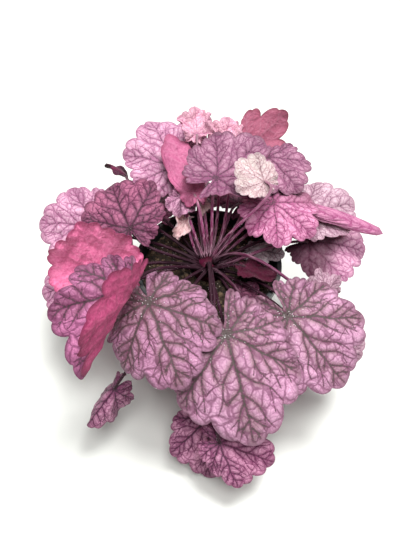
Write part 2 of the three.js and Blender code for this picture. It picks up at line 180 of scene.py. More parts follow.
# a net is its scale and the width of its lines
bladeLook = {
    "wander": (13, 2, 0.5), "sway": (0.06, 0.06, 0.0), "coarseNet": (15, 0.08), "fineNet": (38, 0.11),
    "lineCore": 0.25, "cushion": (0.0, 0.22), "clouds": (42, 3), "mottle": (520, 4, 0.7),
    "grain": (1100, 2),
    "depth": (0.35, 0.1, 0.9), "flesh": (0.42, 0.92), "zone": (0.3, 0.7, 0.7, 1.25), "ragged": 1.3,
    "thin": (0.05, 0.55), "vein": (0.4, 1.0), "specks": 0.16, "speck": (0.02, 0.01, 0.02, 1),
    "roughness": (0.2, 0.8, 0.4, 0.6), "specular": 0.13, "sheen": 0.05, "relief": (1.2, 0.5, 0.2),
    "topBump": (0.45, 0.0007), "underBump": (0.35, 0.0007),
}


def veinNet(tree, vector, scale, width):
    # the lines between random cells, and the cushion inside each
    inputs = {"Vector": vector, "Scale": scale}
    cells = outputOf(tree, "ShaderNodeTexVoronoi", inputs, "Distance", feature="DISTANCE_TO_EDGE")
    line = ramped(tree, cells, bladeLook["lineCore"] * width, width, 1.0, 0.0)
    return line, ramped(tree, cells, *bladeLook["cushion"])


def makeBladeMaterial(name, codes, kind, bump):
    look, shows = bladeLook, markings[kind]
    material, tree, place = startMaterial(name)
    tone = dict(zip(toneParts, map(colour, codes.split())))
    vein, zone, edge, cell, paintedShade = (
        attributeOf(tree, item) for item in ("vein", "zone", "edge", "cell", "paintedShade")
    )
    # the nets of small veins lie in the blade's own flat coordinates, bent by a noise
    flat = outputOf(tree, "ShaderNodeUVMap", uv_map="flat")
    wander = noiseAt(tree, flat, *look["wander"], output="Color")
    inputs = {0: wander, 1: look["sway"], 2: flat}
    bent = outputOf(tree, "ShaderNodeVectorMath", inputs, operation="MULTIPLY_ADD")
    coarseLine, coarseCushion = veinNet(tree, bent, *look["coarseNet"])
    fineLine, fineCushion = veinNet(tree, bent, *look["fineNet"])
    clouds, mottle, grain = (
        noiseAt(tree, place, *look[item]) for item in ("clouds", "mottle", "grain")
    )
    # flesh: a painted highlight on the cushions between the veins, on slow clouds of a deeper tone
    cushionHighlight = maths(tree, "MULTIPLY", cell, coarseCushion)
    depth = summed(tree, *zip((clouds, cushionHighlight, mottle), look["depth"]))
    skin = mixed(tree, ramped(tree, depth, *look["flesh"]), tone["deep"], tone["light"])
    zone = maths(tree, "MULTIPLY", zone, ramped(tree, mottle, *look["zone"]), clamp=True)
    for amount, part in ((zone, "zone"), (fineLine, "fine"), (coarseLine, "coarse"), (edge, "edge")):
        share = maths(tree, "MULTIPLY", amount, shows[part])
        skin = mixed(tree, share, skin, tone[part if part in tone else "thin"])
    uneven = maths(tree, "ADD", mottle, grain)
    ragged = maths(tree, "MULTIPLY_ADD", uneven, look["ragged"], -look["ragged"])
    vein = maths(tree, "ADD", vein, ragged)
    for part in ("thin", "vein"):
        skin = mixed(tree, ramped(tree, vein, *look[part], 0.0, shows[part]), skin, tone[part])
    # painted shade over the shaded side of the blade
    skin = mixed(tree, paintedShade, skin, tone["paintedShade"])
    skin = mixed(tree, maths(tree, "MULTIPLY", grain, look["specks"]), skin, look["speck"])
    relief = summed(tree, *zip((coarseCushion, fineCushion, grain), look["relief"]))
    roughness = ramped(tree, grain, *look["roughness"])
    setSkin(tree, skin, roughness, look["specular"], relief, look[bump], look["sheen"])
    return material


# the stalk's tones from crown to blade: it darkens to near black at the crown, partly its own colour and
# partly painted shade deep among the stalks
stalkLook = {
    "stops": (
        (0.0, "24020f"), (0.14, "3c0822"), (0.34, "74204e"), (0.55, "a24a7c"), (0.82, "ac6e8c"),
        (1.0, "9a7c84"),
    ),
    "streaks": (2.4, 4, 0.5), "streakLength": 5.0, "streak": (0.45, 0.62, 0.0, 0.6),
    "streakHighlightTone": "dba9bf", "blotches": (90, 2), "blotch": (0.5, 0.7, 0.0, 0.4),
    "blotchTone": "7d2752", "stalkShadeTone": "1c0a12", "roughness": 0.55, "specular": 0.08,
    "bump": (0.35, 0.0003),
}


def makeStalkMaterial(look):
    material, tree, place = startMaterial("stalkSkin")
    along = attributeOf(tree, "along")
    ramp = newNode(tree, "ShaderNodeValToRGB", {0: along})
    for position, code in look["stops"][1:-1]:
        ramp.color_ramp.elements.new(position)
    for element, (position, code) in zip(ramp.color_ramp.elements, look["stops"]):
        element.position = position
        element.color = colour(code)
    # streaks run lengthwise: fine around the stalk, long along it; the strong ones are painted as pale
    # highlights, and they also give the stalk its bump
    around = attributeOf(tree, "ring", "Vector")
    length = maths(tree, "MULTIPLY", along, look["streakLength"])
    lengthwise = outputOf(tree, "ShaderNodeCombineXYZ", {2: length})
    both = outputOf(tree, "ShaderNodeVectorMath", {0: around, 1: lengthwise}, operation="ADD")
    streaks = noiseAt(tree, both, *look["streaks"])
    blotches = noiseAt(tree, place, *look["blotches"])
    skin = mixed(tree, ramped(tree, streaks, *look["streak"]), ramp.outputs[0], colour(look["streakHighlightTone"]))
    skin = mixed(tree, ramped(tree, blotches, *look["blotch"]), skin, colour(look["blotchTone"]))
    # painted shade darkens each stalk by the amount its leaf gives it
    skin = mixed(tree, attributeOf(tree, "paintedShade"), skin, colour(look["stalkShadeTone"]))
    setSkin(tree, skin, look["roughness"], look["specular"], streaks, look["bump"])
    return material


def makeTintedMaterial(name, look):
    material, tree, place = startMaterial(name)
    tint = ramped(tree, noiseAt(tree, place, *look["clouds"]), *look["tint"])
    setSkin(tree, mixed(tree, tint, *map(colour, look["tones"])), look["roughness"], look["specular"])
    return material


def makeLumpyMaterial(name, look, tones):
    # two tones on the lumps, and specks of a third
    material, tree, place = startMaterial(name)
    low, high, speck = map(colour, tones)
    lumps, fine = noiseAt(tree, place, *look["lumps"]), noiseAt(tree, place, *look["fine"])
    skin = mixed(tree, ramped(tree, lumps, *look["lump"]), low, high)
    skin = mixed(tree, ramped(tree, fine, *look["speck"]), skin, speck)
    relief = maths(tree, "MULTIPLY_ADD", fine, look["fineRelief"], lumps)
    roughness = ramped(tree, lumps, *look["roughness"])
    setSkin(tree, skin, roughness, look["specular"], relief, look["bump"])
    return material


materials = {}
for tone, codes in topTones.items():
    materials["top_" + tone] = makeBladeMaterial("bladeTop_" + tone, codes, "marked", "topBump")
for tone, codes in underTones.items():
    kind = "marked" if tone in markedUnder else "plain"
    materials["under_" + tone] = makeBladeMaterial("bladeUnder_" + tone, codes, kind, "underBump")
stalkSkin = makeStalkMaterial(stalkLook)
print("materials made")


def meshFrom(name, corners, faces):
    mesh = bpy.data.meshes.new(name)
    mesh.from_pydata([tuple(c) for c in corners], [], faces)
    mesh.update()
    return mesh


def meshOf(name, shape):
    mesh = bpy.data.meshes.new(name)
    shape.to_mesh(mesh)
    shape.free()
    return mesh


def showPiece(name, mesh):
    piece = bpy.data.objects.new(name, mesh)
    bpy.context.scene.collection.objects.link(piece)
    return piece


def seatPiece(name, mesh, node=None):
    piece = showPiece(name, mesh)
    if node:
        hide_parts(node)
    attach(piece, "root")


def appliedMesh(piece):
    bpy.context.view_layer.update()
    graph = bpy.context.evaluated_depsgraph_get()
    mesh = bpy.data.meshes.new_from_object(piece.evaluated_get(graph))
    bpy.data.objects.remove(piece)
    return mesh


def readValues(items, key, width=1, kind=float):
    values = np.zeros(len(items) * width, kind)
    items.foreach_get(key, values)
    return values.reshape(-1, width) if width > 1 else values


def addPointValues(mesh, values):
    for name, numbers in values.items():
        layer = mesh.attributes.new(name, "FLOAT", "POINT")
        layer.data.foreach_set("value", np.asarray(numbers, np.float32))


def setFaces(mesh, kinds=None, smooth=True):
    if kinds is not None:
        mesh.polygons.foreach_set("material_index", kinds)
    mesh.polygons.foreach_set("use_smooth", np.full(len(mesh.polygons), smooth))


def aroundAxis(radius, turn, z):
    return radius * math.cos(turn), radius * math.sin(turn), z


def inputTree(name, inputs, output):
    # starts a tree of geometry nodes, and gives its inputs' sockets and their identifiers
    tree = bpy.data.node_groups.new(name, "GeometryNodeTree")
    identifiers = {}
    for label, kind in inputs.items():
        socket = tree.interface.new_socket(name=label, in_out="INPUT", socket_type="NodeSocket" + kind)
        identifiers[label] = socket.identifier
    tree.interface.new_socket(name=output, in_out="OUTPUT", socket_type="NodeSocketGeometry")
    return tree, newNode(tree, "NodeGroupInput").outputs, identifiers


def endTree(tree, shape, skin):
    real = outputOf(tree, "GeometryNodeRealizeInstances", {0: shape})
    painted = outputOf(tree, "GeometryNodeSetMaterial", {"Geometry": real, "Material": skin})
    newNode(tree, "NodeGroupOutput", {0: painted})


def addTree(piece, tree, identifiers, values):
    modifier = piece.modifiers.new(tree.name, "NODES")
    modifier.node_group = tree
    for label, value in values.items():
        modifier[identifiers[label]] = value
    return appliedMesh(piece)


# the leaf form, in millimetres: u runs along the midrib, v to its left
bladeShape = {
    "half": 0.25, "relief": 1.15, "toothDepth": 0.055, "lobeTurn": 50, "lobeTighten": 2.5,
    "sinusAt": 4.5, "sinusRadius": 0.1, "sinusWidth": 0.3, "foldWidth": 0.07, "teeth": 3,
    "lobeRound": 0.8, "toothRound": 0.75, "frillBeat": 3, "pleatFade": 0.4, "bendSteps": 16,
    "reliefSize": 75, "paintedShadeWidth": 0.35, "rimThin": 0.5, "crinkleRise": 2,
}


def lobeAngle(lobe):
    count = np.abs(lobe)
    degrees = bladeShape["lobeTurn"] * count - bladeShape["lobeTighten"] * count ** 2
    return np.sign(lobe) * np.radians(degrees)


def lobeAt(angle):
    turn, tighten = bladeShape["lobeTurn"], bladeShape["lobeTighten"]
    degrees = np.minimum(180, np.degrees(np.abs(angle)))
    return np.sign(angle) * (turn - np.sqrt(turn ** 2 - 4 * tighten * degrees)) / (2 * tighten)


def envelope(leaf, lobe):
    fall = np.maximum(0, np.cos(lobeAngle(lobe) / 2)) ** (2 * leaf["slim"])
    return leaf["round"] + (1 - leaf["round"]) * fall


def outlineShare(leaf, lobe):
    lobes = 1 - leaf["cut"] * (1 - np.abs(np.cos(np.pi * lobe)) ** bladeShape["lobeRound"])
    scallop = np.abs(np.cos(np.pi * bladeShape["teeth"] * lobe)) ** bladeShape["toothRound"]
    teeth = 1 - bladeShape["toothDepth"] * (1 - scallop)
    toSinus = np.clip((bladeShape["sinusAt"] - np.abs(lobe)) / bladeShape["sinusWidth"], 0, 1)
    low = bladeShape["sinusRadius"] / envelope(leaf, lobe)
    return lobes * teeth * (low + (1 - low) * toSinus)


def turnAlong(length, angleAt):
    steps = bladeShape["bendSteps"]
    along, up = 0, 0
    for i in range(steps):
        angle = angleAt((i + 0.5) / steps * length)
        along = along + np.cos(angle) * length / steps
        up = up + np.sin(angle) * length / steps
    return along, up, angleAt(length)


def formPoint(leaf, u, v):
    angle = np.arctan2(v, u)
    lobe = lobeAt(angle)
    size = leaf["size"]
    share = np.hypot(u, v) / (size * envelope(leaf, lobe))
    ruffle = leaf["wave"] * share ** 2 * np.sin(leaf["waves"] * angle + leaf["phase"])
    beat = bladeShape["frillBeat"] * np.pi * lobe + 2 * leaf["phase"]
    frill = leaf["frill"] * share ** 4 * np.sin(beat)
    pleats = np.abs(np.sin(np.pi * lobe)) - 0.5
    fade = 1 - bladeShape["pleatFade"] * share
    lift = ruffle + frill + leaf["pleat"] * size * share * fade * pleats
    fold, roll = (
        np.radians(np.where(v < 0, right, left)) for right, left in zip(leaf["right"], leaf["left"])
    )
    width = bladeShape["foldWidth"] * size
    out, up, lean = turnAlong(np.abs(v), lambda t: fold * (1 - np.exp(-t / width)) + roll * t / size)
    y = np.sign(v) * (out - lift * np.sin(lean))
    raised = up + lift * np.cos(lean)
    bend = -np.radians(np.where(u < 0, leaf["back"], leaf["curl"])) / size
    ahead, rise, slope = turnAlong(np.abs(u), lambda t: bend * t)
    x = np.sign(u) * (ahead - raised * np.sin(slope))
    return np.stack([x, y, rise + raised * np.cos(slope)], 1)


def formNormal(leaf, u, v, step=0.6):
    alongU = formPoint(leaf, u + step, v) - formPoint(leaf, u - step, v)
    alongV = formPoint(leaf, u, v + step) - formPoint(leaf, u, v - step)
    normal = np.cross(alongU, alongV)
    return normal / np.linalg.norm(normal, axis=1)[:, None]


def bladeMatrix(leaf):
    at = Vector(leaf["at"])
    chord = (Vector(leaf["tip"]) - at).normalized()
    side = Vector((0, 0, 1)).cross(chord).normalized()
    side = Matrix.Rotation(math.radians(leaf["roll"]), 3, chord) @ side
    ahead = Matrix.Rotation(-math.radians(leaf["curl"]) / 2, 3, side) @ chord
    matrix = Matrix((ahead, side, ahead.cross(side))).transposed().to_4x4()
    matrix.translation = at
    return matrix


def bladeSize(leaf):
    chord = (Vector(leaf["tip"]) - Vector(leaf["at"])).length
    half = math.radians(leaf["curl"]) / 2
    return chord * half / math.sin(half) if half else chord


# A vein pattern is grown on a plain leaf of size 1 and then bent onto each leaf.
plainLeaf = {"slim": 1.7, "round": 0.4, "cut": 0.13}
patternSizes = {
    "big": {"step": 0.02, "fill": 0.028, "edge": 9, "count": 4, "seed": 11},
    "small": {"step": 0.034, "fill": 0.055, "edge": 6, "count": 2, "seed": 31},
}
# half the width of each grade of vein at its start and its end, as shares of the leaf's size
veinGrades = {"main": (0.024, 0.0095), "side": (0.013, 0.006), "fork": (0.007, 0.003)}
mainVeins = {"reach": 0.96, "stop": 0.97, "bend": 0.12, "sway": 0.5}
sideVeins = {
    "middle": (0.26, 0.48, 0.66, 0.82), "basal": (0.38, 0.66), "basalFrom": 3, "first": 0.1,
    "stagger": 0.035, "jitter": 0.02, "turn": 44, "spread": 8, "bend": -14, "reach": 0.66, "shorten": 0.72,
    "sway": 0.34, "swayShare": (0.3, 1), "beat": 17, "stop": 0.965, "apart": 1.7, "freeSteps": 3,
}
forks = {"at": (0.4, 0.65), "turn": (36, 50), "bend": 0.3, "reach": 0.45, "least": 6}
# how far the marks reach from a vein, as shares of the leaf's size: halos by grade of vein
veinMarks = {
    "fade": 0.0042, "crest": 1.15, "full": 0.018, "main": (0.0094, 0.85, 0.036),
    "side": (0.0059, 0.15, 0.022), "haloFall": 1.5, "hub": (0.8, 0.15), "puff": 0.05, "small": 0.02,
    "rim": (0.88, 0.12), "rimRise": 1.3, "cell": (0.6, 0.4), "relief": (0.7, 0.3),
    "flatten": (0.25, 0.75), "flatRim": 0.1, "flatHub": 0.12,
}
# the points of a pattern, as shares too: inside says how near to the margin they may lie
patternPoints = {
    "flank": 0.0058, "flankInside": 0.98, "flankApart": 0.0048, "fillReach": 1.1, "fillRow": 0.866,
    "fillShake": 0.33, "fillInside": 0.975, "fillApart": 0.5, "join": 1e-6,
}


def plainRadius(lobe):
    return envelope(plainLeaf, lobe) * outlineShare(plainLeaf, lobe)


def shareOf(points):
    lobe = lobeAt(np.arctan2(points[:, 1], points[:, 0]))
    return np.hypot(points[:, 0], points[:, 1]) / plainRadius(lobe)


def scattered(random, spacing):
    reach = int(patternPoints["fillReach"] / spacing) + 1
    places = np.arange(-reach, reach + 1)
    rows, columns = np.meshgrid(places, places, indexing="ij")
    x = (columns + 0.5 * (rows % 2)) * spacing
    y = rows * spacing * patternPoints["fillRow"]
    points = np.stack([x.ravel(), y.ravel()], 1)
    shake = patternPoints["fillShake"]
    return points + random.uniform(-shake, shake, points.shape) * spacing


def growVein(net, random, start, turn, bend, reach, grade, stop=sideVeins["stop"]):
    # walks from a point of the net, bending and swaying, and stops short of the margin or a vein
    step, apart = net["step"], sideVeins["apart"] * net["step"]
    count = max(1, int(reach / step))
    wide, thin = veinGrades[grade]
    known = np.array(net["points"])
    place, before, made = net["points"][start], start, []
    sway = sideVeins["sway"] * random.uniform(*sideVeins["swayShare"])
    sway = sway * (mainVeins["sway"] if grade == "main" else 1)
    phase = random.uniform(0, 2 * math.pi)
    for i in range(1, count + 1):
        angle = turn + bend * i / count + sway * math.sin(phase + sideVeins["beat"] * i * step)
        place = place + step * np.array([math.cos(angle), math.sin(angle)])
        if shareOf(place[None])[0] > stop:
            break
        if i > sideVeins["freeSteps"] and np.linalg.norm(known - place, axis=1).min() < apart:
            break
        net["points"].append(place)
        net["parent"].append(before)
        net["width"].append(wide + (thin - wide) * i / count)
        before = len(net["points"]) - 1
        made.append(before)
    return made


def headingAt(net, vein, index):
    ahead = net["points"][vein[index + 1]] - net["points"][vein[index]]
    return math.atan2(ahead[1], ahead[0])


def growMains(net, random):
    mains = {}
    for lobe in (0, -1, 1, -2, 2, -3, 3, -4, 4):
        reach = mainVeins["reach"] * float(plainRadius(lobe))
        bend = random.uniform(-mainVeins["bend"], mainVeins["bend"])
        turn = float(lobeAngle(lobe)) - bend / 2
        mains[lobe] = growVein(net, random, 0, turn, bend, reach, "main", mainVeins["stop"])
    return mains


def growSides(net, random, lobe, main):
    # pairs of side veins along one main vein, a little staggered
    sides, rule = [], sideVeins
    for share in rule["middle"] if abs(lobe) < rule["basalFrom"] else rule["basal"]:
        for side in (-1, 1):
            jitter = random.uniform(-rule["jitter"], rule["jitter"])
            at = min(1, max(rule["first"], share + rule["stagger"] * side + jitter))
            index = min(len(main) - 2, int(at * len(main)))
            turn = rule["turn"] + random.uniform(-rule["spread"], rule["spread"])
            heading = headingAt(net, main, index) + side * math.radians(turn)
            bend = side * math.radians(rule["bend"])
            reach = rule["reach"] * (1 - rule["shorten"] * share) * float(plainRadius(lobe))
            sides.append((growVein(net, random, main[index], heading, bend, reach, "side"), side))
    return sides


def growForks(net, random, vein, side):
    if len(vein) < forks["least"]:
        return
    for share, hand in zip(forks["at"], (side, -side)):
        index = int(share * len(vein))
        heading = headingAt(net, vein, index) + hand * math.radians(random.uniform(*forks["turn"]))
        reach = forks["reach"] * len(vein) * net["step"]
        growVein(net, random, vein[index], heading, -hand * forks["bend"], reach, "fork")


def growVeins(random, step):
    # all the main veins first, then all the side veins, then their forks
    net = {"points": [np.zeros(2)], "parent": [-1], "width": [veinGrades["main"][0]], "step": step}
    sides = []
    for lobe, main in growMains(net, random).items():
        sides += growSides(net, random, lobe, main)
    for vein, side in sides:
        growForks(net, random, vein, side)
    return net


def distanceToVeins(points, starts, ends, widths, block=400):
    # the distance to the nearest vein, and how strongly a vein marks each point
    along = ends - starts
    lengthSquared = np.maximum((along ** 2).sum(1), 1e-9)
    best, vein = np.empty(len(points)), np.empty(len(points))
    strength = 0.5 + 0.5 * np.minimum(1, widths / veinMarks["full"])
    for first in range(0, len(points), block):
        some = slice(first, first + block)
        offset = points[some][:, None, :] - starts[None]
        t = np.clip((offset * along[None]).sum(2) / lengthSquared, 0, 1)
        distance = np.linalg.norm(offset - t[:, :, None] * along[None], axis=2)
        best[some] = distance.min(1)
        mark = veinMarks["crest"] - distance / (widths + veinMarks["fade"])
        vein[some] = (strength * mark).max(1)
    return best, vein


def keepApart(groups, cell=0.05):
    # drops each point that lies closer than its group's spacing to one already kept
    taken, kept = {}, []
    for points, spacing in groups:
        keptHere = []
        for x, y in points:
            column, row = int(x // cell), int(y // cell)
            close = any(
                (x - px) ** 2 + (y - py) ** 2 < spacing ** 2
                for i in (-1, 0, 1) for j in (-1, 0, 1)
                for px, py in taken.get((column + i, row + j), ())
            )
            if close:
                continue
            taken.setdefault((column, row), []).append((x, y))
            keptHere.append((x, y))
        kept.append(keptHere)
    return kept


def marginPoints(count):
    lobes = -bladeShape["sinusAt"] + 2 * bladeShape["sinusAt"] * np.arange(count) / count
    radius, angle = plainRadius(lobes), lobeAngle(lobes)
    return np.stack([radius * np.cos(angle), radius * np.sin(angle)], 1)


def flankPoints(starts, ends, width):
    along = (ends - starts) / np.linalg.norm(ends - starts, axis=1)[:, None]
    flank = np.stack([-along[:, 1], along[:, 0]], 1) * (width + patternPoints["flank"])[:, None]
    middles = (starts + ends) / 2
    return np.concatenate([middles + flank, middles - flank])


def patternMarks(corners, starts, ends, width):
    # how strongly each corner is marked, and how high it stands in the relief
    toVein, vein = distanceToVeins(corners, starts, ends, width)
    share = shareOf(corners)
    hub = np.hypot(corners[:, 0], corners[:, 1])
    halo = 0
    for grade in ("main", "side"):
        least, most, reach = veinMarks[grade]
        chosen = width > least
        toGrade, _ = distanceToVeins(corners, starts[chosen], ends[chosen], width[chosen])
        halo = halo + most * np.exp(-(toGrade / reach) ** veinMarks["haloFall"])
    puff = 1 - np.exp(-(toGrade / veinMarks["puff"]) ** 2)  # the last grade: main and side veins
    small = 1 - np.exp(-(toVein / veinMarks["small"]) ** 2)
    inside = np.clip((1 - share) / veinMarks["flatRim"], 0, 1) * np.clip(hub / veinMarks["flatHub"], 0, 1)
    hubShade, hubReach = veinMarks["hub"]
    rimStart, rimWidth = veinMarks["rim"]
    cell, reliefs, flatten = veinMarks["cell"], veinMarks["relief"], veinMarks["flatten"]
    return {
        "vein": vein, "share": share,
        "zone": np.clip(halo + hubShade * np.exp(-(hub / hubReach) ** 2), 0, 1),
        "edge": np.clip((share - rimStart) / rimWidth, 0, 1) ** veinMarks["rimRise"],
        # cell rises away from the veins, for the painted highlight on each cushion
        "cell": small * (cell[0] + cell[1] * puff),
        "relief": (reliefs[0] * puff + reliefs[1] * small) * (flatten[0] + flatten[1] * inside),
    }


def makePattern(sizes, seed):
    random = np.random.RandomState(seed)
    net = growVeins(random, sizes["step"])
    parents = net["parent"][1:]
    nodes, width = np.array(net["points"]), np.array(net["width"][1:])
    starts, ends = nodes[parents], nodes[1:]
    # the margin, then the veins with a flank on either side, then loose points between them
    count = int(2 * bladeShape["sinusAt"] * bladeShape["teeth"] * sizes["edge"])
    flanks = flankPoints(starts, ends, width)
    flanks = flanks[shareOf(flanks) < patternPoints["flankInside"]]
    fill = scattered(random, sizes["fill"])
    fill = fill[shareOf(fill) < patternPoints["fillInside"]]
    groups = keepApart([
        (marginPoints(count), 0.0), (nodes, 0.0), (flanks, patternPoints["flankApart"]),
        (fill, sizes["fill"] * patternPoints["fillApart"]),
    ])
    flat = [Vector(p) for group in groups for p in group]
    edges = [(count + a, count + i + 1) for i, a in enumerate(parents)]
    insideOnly = 1
    made = geometry.delaunay_2d_cdt(flat, edges, [list(range(count))], insideOnly, patternPoints["join"])
    corners = np.array([tuple(p) for p in made[0]])
    inputs = {source: i for i, sources in enumerate(made[3]) for source in sources}
    print("vein pattern:", len(corners), "corners,", len(nodes), "vein points")
    return {
        "flat": corners, "triangles": [tuple(t) for t in made[2]],
        "rim": [inputs[i] for i in range(count)], **patternMarks(corners, starts, ends, width),
    }


patterns = {
    name: [makePattern(sizes, sizes["seed"] + i) for i in range(sizes["count"])]
    for name, sizes in patternSizes.items()
}

# The leaves: at is where the stalk meets the blade and tip the end of the middle lobe, in
# millimetres. rise is the height of its seat on the crown. roll turns the blade about the line
# from at to tip, curl and back bend its two ends down, and left, right or both give the fold and
# the roll of a side, all in degrees. wave, waves and phase ruffle the margin, and frill its teeth;
# pleat lifts the face between the lobes, and crinkle roughens it. round and slim are the outline's
# least radius and how fast it narrows, and cut the depth of its lobes. arrive, reach and hook bend
# the stalk, and dim adds painted shade to it.
usual = {
    "rise": 44, "roll": 0, "curl": 25, "back": 15, "both": (0, -8), "wave": 2.5, "waves": 5,
    "phase": 0, "pleat": 0.035, "slim": 1.7, "round": 0.4, "cut": 0.13, "arrive": 25, "reach": 0.4,
    "hook": 0.35, "frill": 0.9, "crinkle": 0.35, "pattern": "big", "top": "pink",
    "under": "magenta", "dim": 0, "veins": 1, "hairy": 0.0,
}
leafKinds = {
    "plain": {},
    "low": {"rise": 24, "arrive": 110, "reach": 0.75, "dim": 0.75, "top": "grey", "pattern": "small"},
    "dark": {"top": "dark", "under": "maroon", "pattern": "small"},
    "young": {"curl": -10, "wave": 4, "both": (20, 20), "arrive": 80, "dim": 0.5, "veins": 0.65,
        "top": "peach", "pattern": "small", "crinkle": 0.9, "frill": 1.6},
    "bud": {"both": (40, 60), "veins": 0.5, "top": "cream", "under": "chalk", "pattern": "small",
        "crinkle": 0.6},
}
